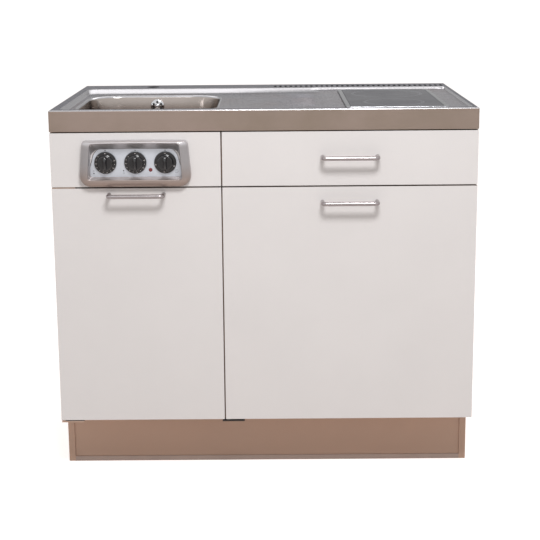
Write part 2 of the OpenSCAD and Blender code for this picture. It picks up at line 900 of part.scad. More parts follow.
// Bottle trap: cap nut, cup and outlet socket
module bottle_trap() {
    z1 = z_waste_body;
    z0 = z_trap_top - trap_h;
    outlet_y = waste_y + trap_r + outlet_l;
    color("white") difference() {
        union() {
            rod_z(neck_r + 6, z_trap_top, z1 - run_gap, bowl_x, waste_y);
            rod_z(trap_r, z0 + 14, z_trap_top + eps, bowl_x, waste_y);
            translate([bowl_x, waste_y, z0]) cylinder(r1 = trap_r - 6, r2 = trap_r + 3, h = 14);
            rod_z(trap_r + 3, z0 + 14, z0 + 24, bowl_x, waste_y);
            rod_y(pipe_d / 2 + 5, waste_y, outlet_y, bowl_x, z_waste_pipe);
        }
        rod_z(trap_r - trap_wall, z0 + 6, z_trap_top - trap_wall, bowl_x, waste_y);
        rod_z(neck_r + run_gap, z_trap_top - trap_wall - 1, z1 + 1, bowl_x, waste_y);
        rod_y(pipe_d / 2 + run_gap, waste_y + 10, outlet_y + 1, bowl_x, z_waste_pipe);
    }
}

// Waste pipe from the trap to the wall side of the unit, with its cone washer at the socket
module waste_pipe() {
    socket_y = waste_y + trap_r + outlet_l;
    color("white") difference() {
        union() {
            rod_y(pipe_d / 2, waste_y + trap_r, pipe_end, bowl_x, z_waste_pipe);
            rod_y(pipe_d / 2 + 3, socket_y, socket_y + washer_l, bowl_x, z_waste_pipe);
        }
        rod_y(pipe_d / 2 - pipe_t, waste_y + trap_r - 1, pipe_end + 1, bowl_x, z_waste_pipe);
    }
}

// ---------- hob ----------

// Steel frame that stands on the deck around the glass
module hob_frame() {
    low = [hob_x - hob_w / 2, hob_y - hob_d / 2, z_hob_deck];
    high = [hob_x + hob_w / 2, hob_y + hob_d / 2, z_hob_deck + frame_rise];
    inner = [frame_w - run_gap, frame_w - run_gap, 0];
    color(steel) difference() {
        rounded_plate(low, high, 10);
        rounded_plate(low + inner - [0, 0, 1], high - inner + [0, 0, 1], 6);
    }
}

module hob_glass() {
    low = [hob_x - glass_w / 2, hob_y - glass_d / 2, z_glass];
    high = [hob_x + glass_w / 2, hob_y + glass_d / 2, z_glass_top];
    color([0.2, 0.2, 0.22]) rounded_plate(low, high, 6);
}

// Folded steel tray that hangs in the cut-out, open at the top
module hob_tray() {
    low = [hob_x - tray_w / 2, hob_y - tray_d / 2, z_tray];
    high = [hob_x + tray_w / 2, hob_y + tray_d / 2, z_hob_deck];
    wall = [tray_t, tray_t, 0];
    color("darkgray") difference() {
        board(low, high);
        board(low + wall + [0, 0, tray_t], high - wall + [0, 0, 1]);
    }
}

// Radiant element: insulated pan with a coiled track, on three legs
module heating_element(y, d) {
    leg_ring = d / 2 - 12;
    color("lightgray") {
        difference() {
            rod_z(d / 2, z_element, z_glass - run_gap, hob_x, y);
            rod_z(d / 2 - 9, z_element + 12, z_glass, hob_x, y);
        }
        for (a = [90 : 120 : 330])
            rod_z(4, z_tray + tray_t, z_element + 1, hob_x + leg_ring * cos(a), y + leg_ring * sin(a));
    }
    color("sienna")
        for (r = [20 : 14 : d / 2 - 18])
            translate([hob_x, y, z_element + 12])
                difference() {
                    cylinder(r = r + 3, h = 2);
                    translate([0, 0, -1]) cylinder(r = r - 3, h = 4);
                }
}

module front_heating_element() {
    heating_element(front_zone_y, front_zone_d);
}

module rear_heating_element() {
    heating_element(rear_zone_y, rear_zone_d);
}

// ---------- controls ----------

// Moulded surround: a hollow hooded frame with a sloping ledge below the knobs
module control_surround() {
    color("silver") difference() {
        union() {
            hood_bulge(0);
            push_y(y_face, y_plate) plate_outline(collar_w);
        }
        hood_funnel(0);
        difference() {
            hood_bulge(moulding_t);
            hood_funnel(moulding_t);
        }
    }
}

// Outer form of the surround, and of its hollow where it is drawn in
module hood_bulge(inset) {
    back = inset > 0 ? 1 : 0;
    hull() {
        push_y(y_face - hood_reach * 0.45, y_face + back) surround_outline(inset, inset);
        push_y(y_face - hood_reach * 0.8 + inset, y_face - hood_reach * 0.7)
            surround_outline(inset + 2, inset + 0.5);
        push_y(y_hood + inset, y_hood + inset + 1) surround_outline(inset + 6, inset + 2);
    }
}

// Inner form of the surround, from the control plate to its front rim
module hood_funnel(grow) {
    hull() {
        push_y(y_plate, y_plate + 1) plate_outline(grow);
        push_y(y_hood - 1, y_hood) hood_opening(grow);
    }
}

// Opening of the surround at its front rim
module hood_opening(grow) {
    hull() {
        for (side = [-1, 1]) {
            translate([side * (opening_top_half - opening_top_r), opening_high - opening_top_r])
                circle(opening_top_r + grow, $fn = 32);
            translate([side * (opening_low_half - opening_low_r), opening_low + opening_low_r])
                circle(opening_low_r + grow, $fn = 24);
        }
    }
}

module control_plate() {
    color("gainsboro") difference() {
        push_y(y_plate, y_plate + plate_t) plate_outline(collar_w - 0.5);
        for (i = [-1 : 1])
            rod_y(bush_r + run_gap, y_plate - 1, y_plate + plate_t + 1, knob_x + i * knob_pitch, knob_z);
        rod_y(lamp_d / 2 - 1, y_plate - 1, y_plate + plate_t + 1, lamp_x, lamp_z);
    }
}

// Rotary switch: a block with a threaded bush that the spindle turns in
module rotary_switch(i, depth) {
    x = knob_x + i * knob_pitch;
    y0 = y_plate + plate_t;
    color("ivory") difference() {
        union() {
            board([x - switch_w / 2, y0, knob_z - switch_w / 2],
                  [x + switch_w / 2, y0 + depth, knob_z + switch_w / 2]);
            rod_y(bush_r, y_plate, y0 + 1, x, knob_z);
        }
        rod_y(spindle_d / 2 + fit_gap, y_plate - 1, y0 + 20, x, knob_z);
    }
    color("goldenrod")
        for (k = [-1, 1])
            for (j = [-1, 0, 1])
                board([x + k * 14 - 0.4, y0 + depth, knob_z + j * 12 - 3],
                      [x + k * 14 + 0.4, y0 + depth + 8, knob_z + j * 12 + 3]);
}

module front_zone_regulator() {
    rotary_switch(-1, switch_d);
}

module rear_zone_regulator() {
    rotary_switch(0, switch_d);
}

module timer_switch() {
    rotary_switch(1, switch_d + 6);
}

// Spindle from the switch to the knob's socket
module spindle(i) {
    y0 = y_plate - knob_gap - 12;
    y1 = y_plate + plate_t + 18;
    color(steel) rod_y(spindle_d / 2, y0, y1, knob_x + i * knob_pitch, knob_z);
}

module front_zone_spindle() {
    spindle(-1);
}

module rear_zone_spindle() {
    spindle(0);
}

module timer_spindle() {
    spindle(1);
}

// Knob: flat skirt, tapered hub and a grip bar across it
module knob(i) {
    x = knob_x + i * knob_pitch;
    y0 = y_plate - knob_gap;
    skirt_t = 4;
    hub_h = 8;
    hub_r = knob_d / 2 - 7;
    color(dark_plastic)
        translate([x, y0, knob_z])
            rotate([90, 0, 0])
                difference() {
                    union() {
                        cylinder(r = knob_d / 2, h = skirt_t - 1);
                        translate([0, 0, skirt_t - 1])
                            cylinder(r1 = knob_d / 2, r2 = knob_d / 2 - 2, h = 1);
                        translate([0, 0, skirt_t - 1])
                            cylinder(r1 = hub_r, r2 = hub_r - 2, h = hub_h);
                        grip_bar(hub_r, skirt_t);
                    }
                    translate([0, 0, -1]) cylinder(r = spindle_d / 2 + fit_gap, h = 14);
                }
}

// Grip bar: rounded across the knob, waisted on both flanks
module grip_bar(r, z0) {
    bar_w = 12;
    waist_r = 60;
    intersection() {
        translate([0, 0, z0]) cylinder(r1 = r + 1, r2 = r - 3, h = knob_h - z0);
        difference() {
            translate([-bar_w / 2, -r - 1, z0]) cube([bar_w, 2 * r + 2, knob_h]);
            for (side = [-1, 1])
                translate([side * (bar_w / 2 + waist_r - 3), 0, z0 + 7])
                    cylinder(r = waist_r, h = knob_h);
        }
    }
}

module front_zone_knob() {
    knob(-1);
}

module rear_zone_knob() {
    knob(0);
}

module timer_knob() {
    knob(1);
}

module pilot_lamp() {
    r = lamp_d / 2;
    color("red") {
        translate([lamp_x, y_plate, lamp_z])
            rotate([90, 0, 0]) cylinder(r1 = r, r2 = r - 2, h = 2.5);
        rod_y(r - 1 - run_gap, y_plate - 1, y_plate + 26, lamp_x, lamp_z);
    }
}

// Mains terminal box: hangs on the rear rail and reaches down to the service opening
module terminal_box() {
    x0 = gland_x - box_w / 2;
    y0 = y_boards_end - board_t - box_depth;
    color("lightgray") difference() {
        board([x0, y0, gland_z - box_below], [x0 + box_w, y0 + box_depth, z_lip - rear_rail_h + box_lap]);
        rod_y(gland_r, y0 + box_depth - gland_stem, y0 + box_depth + 1, gland_x, gland_z);
    }
}

// Cable gland in the rear face of the terminal box: stem, hexagon and cap
module cable_gland() {
    y = y_boards_end - board_t;
    hex_l = 5;
    cap_l = 11;
    color(dark_plastic) difference() {
        union() {
            rod_y(gland_r - run_gap, y - gland_stem + run_gap, y + hex_l, gland_x, gland_z);
            translate([gland_x, y, gland_z])
                rotate([-90, 0, 0]) cylinder(r = gland_r + 4, h = hex_l, $fn = 6);
            rod_y(gland_r + 1.5, y + hex_l, y + hex_l + cap_l, gland_x, gland_z);
        }
        rod_y(cable_r, y - gland_stem, y + hex_l + cap_l + 1, gland_x, gland_z);
    }
}

// ---------- drawer ----------

// Fixed channel with its front roller, drawn for the left runner
module cabinet_runner() {
    x = x_partition_right;
    z1 = z_channel + 2 * runner_t + channel_h;
    reach = runner_space - 4;
    y1 = y_carcass + runner_l;
    board([x, y_carcass, z_channel], [x + runner_t, y1, z1]);
    board([x, y_carcass, z_channel], [x + reach, y1, z_channel + runner_t]);
    board([x, front_roller_y + roller_r + 1, z1 - runner_t], [x + reach, y1, z1]);
    rod_x(roller_r, x + reach - roller_w, x + reach, front_roller_y, z_front_roller);
    rod_x(2.5, x, x + reach, front_roller_y, z_front_roller);
}

// Moving angle with its rear roller, drawn for the left runner
module drawer_runner() {
    x = drawer_x0;
    z_shelf_leg = z_front_roller + roller_r + run_gap;
    z_rear = z_channel + runner_t + channel_h / 2;
    reach = runner_space - 2;
    board([x - runner_t, y_front_back + 4, z_rear - 6], [x, rear_roller_y + 10, z_shelf_leg + 6]);
    board([x - reach, y_front_back + 4, z_shelf_leg],
          [x - runner_t / 2, rear_roller_y + 10, z_shelf_leg + runner_t]);
    rod_x(roller_r, x - reach, x - reach + roller_w, rear_roller_y, z_rear);
    rod_x(2.5, x - reach, x - runner_t / 2, rear_roller_y, z_rear);
}

// Both hands of a runner, mirrored about the middle of the right bay
module both_hands() {
    children();
    translate([2 * right_bay_mid, 0, 0]) mirror([1, 0, 0]) children();
}

module cabinet_runners() {
    color("white") both_hands() cabinet_runner();
}

module drawer_runners() {
    color("white") both_hands() drawer_runner();
}

module drawer_front() {
    color(front_white)
        board([x_right_start, y_face, z_upper], [x_front_right, y_front_back, z_fronts_top]);
}

module drawer_side(x0) {
    color("white")
        board([x0, y_front_back, z_drawer], [x0 + drawer_t, drawer_y1, z_drawer + drawer_side_h]);
}

module drawer_left_side() {
    drawer_side(drawer_x0);
}

module drawer_right_side() {
    drawer_side(drawer_x1 - drawer_t);
}

module drawer_back() {
    color("white")
        board([drawer_x0 + drawer_t, drawer_y1 - drawer_t, z_drawer + drawer_floor_rise],
              [drawer_x1 - drawer_t, drawer_y1, z_drawer + drawer_side_h - 10]);
}

module drawer_bottom() {
    z0 = z_drawer + drawer_floor_rise;
    color("gainsboro")
        board([drawer_x0 + drawer_t, y_front_back, z0 - drawer_floor_t],
              [drawer_x1 - drawer_t, drawer_y1, z0]);
}

left_side_panel();
right_side_panel();
centre_partition();
bottom_panel();
plinth_board();
plinth_seal();
back_panel();
front_rail();
rear_rail();
left_mid_rail();
right_mid_rail();
shelf();
shelf_pins();
control_front_panel();
panel_brackets();
worktop_sheet();
worktop_core();
worktop_battens();
sink_bowl();
overflow_rosette();
overflow_pipe();
waste_flange();
waste_body();
strainer_basket();
bottle_trap();
waste_pipe();
hob_frame();
hob_glass();
hob_tray();
front_heating_element();
rear_heating_element();
control_surround();
control_plate();
front_zone_regulator();
rear_zone_regulator();
timer_switch();
pilot_lamp();
front_zone_spindle();
rear_zone_spindle();
timer_spindle();
front_zone_knob();
rear_zone_knob();
timer_knob();
terminal_box();
cable_gland();
cabinet_runners();
drawer_runners();
drawer_front();
drawer_left_side();
drawer_right_side();
drawer_back();
drawer_bottom();
drawer_handle();
left_door();
left_door_handle();
right_door();
right_door_handle();
left_door_hinges();
right_door_hinges();
door_catches();
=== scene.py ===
"""Looks of a kitchenette unit: pressed steel worktop, sink bowl, glass hob, knobs and fronts."""

import json
import math

import bmesh
import bpy
from bpy.props import FloatProperty, FloatVectorProperty, IntProperty, PointerProperty
from mathutils import Matrix, Vector


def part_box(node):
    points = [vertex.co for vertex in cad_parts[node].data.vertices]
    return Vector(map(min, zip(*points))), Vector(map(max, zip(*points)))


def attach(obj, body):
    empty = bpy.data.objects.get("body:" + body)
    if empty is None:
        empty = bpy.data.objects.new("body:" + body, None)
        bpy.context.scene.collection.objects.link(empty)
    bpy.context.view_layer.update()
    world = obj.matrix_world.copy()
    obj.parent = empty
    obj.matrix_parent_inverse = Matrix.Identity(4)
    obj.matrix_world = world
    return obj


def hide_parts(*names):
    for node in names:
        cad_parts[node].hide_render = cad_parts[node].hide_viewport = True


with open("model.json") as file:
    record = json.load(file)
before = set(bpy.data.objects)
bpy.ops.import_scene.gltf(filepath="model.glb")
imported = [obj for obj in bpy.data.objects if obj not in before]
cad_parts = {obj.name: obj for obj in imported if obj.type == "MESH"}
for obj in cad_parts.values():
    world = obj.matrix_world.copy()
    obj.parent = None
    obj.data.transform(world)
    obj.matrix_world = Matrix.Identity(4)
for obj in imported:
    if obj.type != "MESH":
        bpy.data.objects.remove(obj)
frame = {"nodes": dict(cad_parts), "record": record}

bl_info = {
    "name": "Kitchenette Unit",
    "version": (1, 0, 0),
    "blender": (4, 5, 0),
    "location": "View3D > Sidebar > Kitchenette",
    "description": "Builds the looks of a kitchenette unit around its CAD frame",
    "category": "Object",
}

NODES = frame["nodes"]
BODY_OF = {n: body for body, members in frame["record"]["behaviour"]["bodies"].items() for n in members}
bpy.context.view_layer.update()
MM = 0.001
UP = Vector((0, 0, 1))


# ---------- sizes and colours a user would change ----------

def length(name, text, default, low, high):
    """A length property in metres, given in millimetres."""
    return FloatProperty(name=name, description=text, default=default * MM, min=low * MM, max=high * MM,
                         unit="LENGTH", precision=4)


def colour(name, text, default):
    """A colour property."""
    return FloatVectorProperty(name=name, description=text, default=default, size=3, min=0, max=1,
                               subtype="COLOR")


class WorktopSettings(bpy.types.PropertyGroup):
    edge_radius: length("Edge radius", "Outer bend radius of the worktop's edges", 3.2, 2, 6)
    roll_radius: length("Bowl roll", "Radius of the rolled edge around the bowl", 6, 4, 12)
    ridge_height: length("Ridge height", "Height of a drainer ridge at its high end", 1, 0.5, 3)
    drainer_fall: length("Drainer fall", "How far the drainer rises towards the hob", 2.2, 0, 4)
    ridge_count: IntProperty(name="Ridges", description="Number of drainer ridges", default=15, min=5, max=15)
    slot_count: IntProperty(name="Vent slots", description="Number of vent slots", default=33, min=10, max=33)


class FinishSettings(bpy.types.PropertyGroup):
    front: colour("Fronts", "Off-white laminate of the fronts", (0.72, 0.695, 0.69))
    carcass: colour("Carcass", "Taupe laminate of the carcass and the plinth", (0.545, 0.37, 0.28))
    deck: colour("Deck", "Steel of the decks", (0.43, 0.42, 0.45))
    # the rim is the same steel made darker: painted reflection of the darker wall behind
    rim: colour("Rim", "Dull steel of the flat rim", (0.40, 0.395, 0.43))
    # the bends are the same steel made lighter: painted highlight
    bends: colour("Bends", "Bright steel of the bends and slopes", (0.45, 0.44, 0.455))
    # the apron's brown tone is a painted reflection of a brown floor
    apron: colour("Apron", "Steel of the worktop's upright edges", (0.45, 0.36, 0.315))
    # the bowl's warm tint is a painted reflection of brown surroundings
    bowl: colour("Bowl", "Steel of the bowl", (0.45, 0.40, 0.37))
    # the surround's lower band gets a painted floor reflection and its upper edge a painted highlight
    surround: colour("Surround", "Silver moulding around the knobs", (0.415, 0.40, 0.41))
    plate: colour("Control plate", "Pale silver plate behind the knobs", (0.73, 0.77, 0.84))
    knob: colour("Knobs", "Black plastic of the knobs", (0.011, 0.011, 0.013))
    marks: colour("Dial marks", "Printed marks on the knobs", (0.75, 0.70, 0.68))
    glass: colour("Hob glass", "Dark grey glass ceramic", (0.05, 0.048, 0.056))


class StageSettings(bpy.types.PropertyGroup):
    floor: colour("Floor", "Pale warm floor of the studio", (0.88, 0.81, 0.77))
    world_light: FloatProperty(name="World light", description="Even light from all around",
                               default=0.5, min=0, max=2)
    key_power: FloatProperty(name="Key light", description="Power of the soft light above the front",
                             default=44, min=0, subtype="POWER")
    top_power: FloatProperty(name="Top light", description="Power of the soft box over the wall side",
                             default=22, min=0, subtype="POWER")


class KitchenetteSettings(bpy.types.PropertyGroup):
    worktop: PointerProperty(type=WorktopSettings)
    finish: PointerProperty(type=FinishSettings)
    stage: PointerProperty(type=StageSettings)


def settings():
    """The user's sizes and colours."""
    return bpy.context.scene.kitchenette


# ---------- shader nodes ----------

MIX_FACTOR, MIX_FIRST, MIX_SECOND, MIX_RESULT = 0, 6, 7, 2  # sockets of a Mix node that mixes colours


def feed(tree, node, values):
    """Fills a node's inputs; each value is plain, or the output of another node."""
    for name, value in values.items():
        if hasattr(value, "is_linked"):
            tree.links.new(value, node.inputs[name])
        else:
            node.inputs[name].default_value = value


def add_node(tree, kind, values=None, **fields):
    """A node with its fields set and its inputs filled in."""
    made = tree.nodes.new(kind)
    for name, value in fields.items():
        setattr(made, name, value)
    feed(tree, made, values or {})
    return made


def result(tree, operation, *values):
    """Value of a Math node."""
    return add_node(tree, "ShaderNodeMath", dict(enumerate(values)), operation=operation).outputs["Value"]


def object_place(tree, stretch=None):
    """Object coordinates of a piece, stretched if asked."""
    place = add_node(tree, "ShaderNodeTexCoord").outputs["Object"]
    if not stretch:
        return place
    return add_node(tree, "ShaderNodeMapping", {"Vector": place, "Scale": stretch}).outputs["Vector"]


def object_noise(tree, scale, stretch=(1, 1, 1), detail=3):
    """Noise on Object coordinates; scale is in cells per metre."""
    return add_node(tree, "ShaderNodeTexNoise", {"Vector": object_place(tree, stretch), "Scale": scale,
                                                 "Detail": detail, "Roughness": 0.55}).outputs["Fac"]


def spread_value(tree, source, low, high, start=0.3, end=0.7):
    """Remaps a mask's range from start to end onto low to high."""
    return add_node(tree, "ShaderNodeMapRange", {"Value": source, "From Min": start, "From Max": end,
                                                 "To Min": low, "To Max": high}).outputs["Result"]


def mix_colours(tree, factor, first, second):
    """The first colour where the factor is nothing, the second one where it is one."""
    return add_node(tree, "ShaderNodeMix", {MIX_FACTOR: factor, MIX_FIRST: first, MIX_SECOND: second},
                    data_type="RGBA").outputs[MIX_RESULT]


def soft_mottle(tree, given):
    """Slow cloudy change of a colour."""
    mask = spread_value(tree, object_noise(tree, given["Scale"], detail=4), 0.0, 1.0, start=0.34, end=0.66)
    return {"Colour": mix_colours(tree, mask, given["Colour"], given["Second colour"])}


def linen_brushing(tree, given):
    """Two crossed sets of short fine scratches, as on linen-finished steel."""
    along, across = (object_noise(tree, 60.0, stretch, detail=2) for stretch in ((1, 22, 22), (22, 1, 22)))
    weave = result(tree, "MAXIMUM", along, across)
    return {"Roughness": spread_value(tree, weave, given["Smooth"], given["Rough"], start=0.45, end=0.75),
            "Height": weave}


def fine_texture(tree, given):
    """Even fine pebble of a laminate or a moulding, with a little change of gloss."""
    return {"Roughness": spread_value(tree, object_noise(tree, 9.0), given["Smooth"], given["Rough"]),
            "Height": object_noise(tree, given["Scale"], detail=2)}


def pressed_chips(tree, given):
    """Wood chips of a raw particle board."""
    chips = add_node(tree, "ShaderNodeTexVoronoi", {"Vector": object_place(tree, (1, 1.6, 2.4)),
                                                    "Scale": 260.0, "Randomness": 1.0}).outputs
    tone = add_node(tree, "ShaderNodeSeparateColor", {"Color": chips["Color"]}).outputs["Red"]
    return {"Colour": mix_colours(tree, tone, given["Light chip"], given["Dark chip"]),
            "Height": chips["Distance"]}


def height_mask(tree, given):
    """Mask that fades from one at the lower height to nothing at the upper one."""
    height = add_node(tree, "ShaderNodeSeparateXYZ", {"Vector": object_place(tree)}).outputs["Z"]
    return {"Mask": add_node(tree, "ShaderNodeMapRange", {
        "Value": height, "From Min": given["Low"], "From Max": given["High"], "To Min": 1.0, "To Max": 0.0},
        interpolation_type="SMOOTHSTEP").outputs["Result"]}


def zone_ring(tree, given):
    """Thin printed ring on the hob glass around a point."""
    flat = add_node(tree, "ShaderNodeVectorMath", {0: object_place(tree), 1: (1, 1, 0)}, operation="MULTIPLY")
    reach = add_node(tree, "ShaderNodeVectorMath", {0: flat.outputs["Vector"], 1: given["Centre"]},
                     operation="DISTANCE")
    return {"Mask": result(tree, "COMPARE", reach.outputs["Value"], given["Radius"], given["Line"])}


GREY = (0.5, 0.5, 0.5, 1)
GROUP_INPUTS = {
    soft_mottle: {"Colour": GREY, "Second colour": GREY, "Scale": 12.0},
    linen_brushing: {"Smooth": 0.25, "Rough": 0.4},
    fine_texture: {"Scale": 900.0, "Smooth": 0.35, "Rough": 0.45},
    pressed_chips: {"Light chip": GREY, "Dark chip": GREY},
    height_mask: {"Low": 0.0, "High": 0.1},
    zone_ring: {"Centre": (0, 0, 0), "Radius": 0.09, "Line": 0.0012},
}
GROUPS = {}


def new_socket(tree, label, in_out, value):
    """A named socket of the kind that holds such a value."""
    size = len(value) if isinstance(value, tuple) else 1
    kind = {1: "NodeSocketFloat", 3: "NodeSocketVector", 4: "NodeSocketColor"}[size]
    tree.interface.new_socket(label, in_out=in_out, socket_type=kind).default_value = value


def shared_group(maker):
    """A shader group with named inputs; its maker returns what it puts out."""
    tree = bpy.data.node_groups.new(maker.__name__.replace("_", " "), "ShaderNodeTree")
    for label, value in GROUP_INPUTS[maker].items():
        new_socket(tree, label, "INPUT", value)
    made = maker(tree, tree.nodes.new("NodeGroupInput").outputs)
    for label in made:
        new_socket(tree, label, "OUTPUT", GREY if label == "Colour" else 0.0)
    feed(tree, tree.nodes.new("NodeGroupOutput"), made)
    return tree


def group(tree, maker, values):
    """Outputs of a shared group, placed with its own values; each group is made once."""
    if maker not in GROUPS:
        GROUPS[maker] = shared_group(maker)
    return add_node(tree, "ShaderNodeGroup", values, node_tree=GROUPS[maker]).outputs


# ---------- finishes ----------

BRUSHING_DEPTH, PEBBLE_DEPTH, CHIP_DEPTH = 0.05 * MM, 0.1 * MM, 0.4 * MM
NEAR_FLOOR_FADE = (4 * MM, 110 * MM)  # heights between which the darker tone near the floor fades out
FLOOR_REFLECTION_BAND, PAINTED_HIGHLIGHT_BAND = (712 * MM, 785 * MM), (812 * MM, 827 * MM)  # fades of the painted floor reflection and the painted highlight on the moulded surround
# tint of the painted reflection of a brown floor on the surround's lower band
FLOOR_REFLECTION_TINT = (0.84, 0.66, 0.55)
RING_GREY = (0.098, 0.098, 0.108)
RING_GAP = 4 * MM
EVEN_BOARD = dict(tone=0.975, scale=5.0, grain=900.0, strength=0.05)


def shade(rgb, factor=1.0):
    """A colour with its alpha, made lighter or darker."""
    return (rgb[0] * factor, rgb[1] * factor, rgb[2] * factor, 1.0)


def surface(name, rgb, metallic=0.0, **sockets):
    """A material with its Principled shader; further sockets are set by name."""
    material = bpy.data.materials.new(name)
    material.use_nodes = True
    tree = material.node_tree
    shader = tree.nodes["Principled BSDF"]
    named = {label.replace("_", " "): value for label, value in sockets.items()}
    feed(tree, shader, {"Base Color": shade(rgb), "Metallic": metallic, **named})
    return material, tree, shader


def bump(tree, shader, height, strength, depth):
    """A bump node from a height to the shader's normal."""
    relief = add_node(tree, "ShaderNodeBump", {"Strength": strength, "Distance": depth, "Height": height})
    feed(tree, shader, {"Normal": relief.outputs["Normal"]})


def textured(tree, shader, maker, gloss, strength, depth, **values):
    """Feeds the roughness, within a range, and the bump from a texture group."""
    texture = group(tree, maker, {"Smooth": gloss[0], "Rough": gloss[1], **values})
    feed(tree, shader, {"Roughness": texture["Roughness"]})
    bump(tree, shader, texture["Height"], strength, depth)


def mottled(tree, rgb, tone, scale, second=None):
    """A colour that changes slowly between two tones."""
    return group(tree, soft_mottle, {"Colour": shade(rgb), "Second colour": shade(second or rgb, tone),
                                     "Scale": scale})["Colour"]


def fade_mask(tree, heights):
    """Mask that fades out between two heights."""
    return group(tree, height_mask, {"Low": heights[0], "High": heights[1]})["Mask"]


def steel(name, rgb, gloss, tone=0.93, scale=14.0, strength=0.12, edge=1.0, second=None):
    """Brushed stainless steel; edge is its tint where it is seen at a glancing angle."""
    material, tree, shader = surface(name, rgb, 1.0, Specular_Tint=(edge, edge, edge, 1))
    feed(tree, shader, {"Base Color": mottled(tree, rgb, tone, scale, second)})
    textured(tree, shader, linen_brushing, gloss, strength, BRUSHING_DEPTH)
    return material


def moulding(name, rgb, gloss, tone=0.93, scale=30.0, grain=1400.0, strength=0.06, metallic=0.0, over=None,
             **sockets):
    """Moulded plastic, laminate or glass with a fine grain; over lays further tones on the colour."""
    material, tree, shader = surface(name, rgb, metallic, **sockets)
    base = mottled(tree, rgb, tone, scale)
    feed(tree, shader, {"Base Color": over(tree, rgb, base) if over else base})
    textured(tree, shader, fine_texture, gloss, strength, PEBBLE_DEPTH, Scale=grain)
    return material


def laminate(name, rgb, gloss, **values):
    """Laminated board or painted sheet: a moulding with an evener colour and a coarser grain."""
    return moulding(name, rgb, gloss, **(EVEN_BOARD | values))


def scuffed(tree, rgb, base):
    """A little darker near the floor."""
    return mix_colours(tree, fade_mask(tree, NEAR_FLOOR_FADE), base, shade(rgb, 0.88))


def chipboard(name, rgb, gloss):
    """Raw particle board with lighter and darker chips."""
    material, tree, shader = surface(name, rgb, Roughness=gloss[0])
    chips = group(tree, pressed_chips, {"Light chip": shade(rgb, 1.15), "Dark chip": shade(rgb, 0.62)})
    feed(tree, shader, {"Base Color": chips["Colour"]})
    bump(tree, shader, chips["Height"], 0.3, CHIP_DEPTH)
    return material


def banded(tree, rgb, base):
    """Painted floor reflection as a warmer lower band, and a painted highlight as a paler upper edge of the
    surround.
    """
    warm = shade([part * tint for part, tint in zip(rgb, FLOOR_REFLECTION_TINT)])
    with_floor_reflection = mix_colours(tree, fade_mask(tree, FLOOR_REFLECTION_BAND), base, warm)
    return mix_colours(tree, fade_mask(tree, PAINTED_HIGHLIGHT_BAND), shade(rgb, 1.35), with_floor_reflection)


def ringed(tree, rgb, base):
    """Two printed rings around each cooking zone, over its heating element."""
    for node in ("front_heating_element", "rear_heating_element"):
        low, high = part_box(node)
        centre = ((low.x + high.x) / 2, (low.y + high.y) / 2, 0)
        for gap in (0, RING_GAP):
            radius = (high.x - low.x) / 2 - gap
            mask = group(tree, zone_ring, {"Centre": centre, "Radius": radius})["Mask"]
            base = mix_colours(tree, mask, base, shade(RING_GREY))
    return base


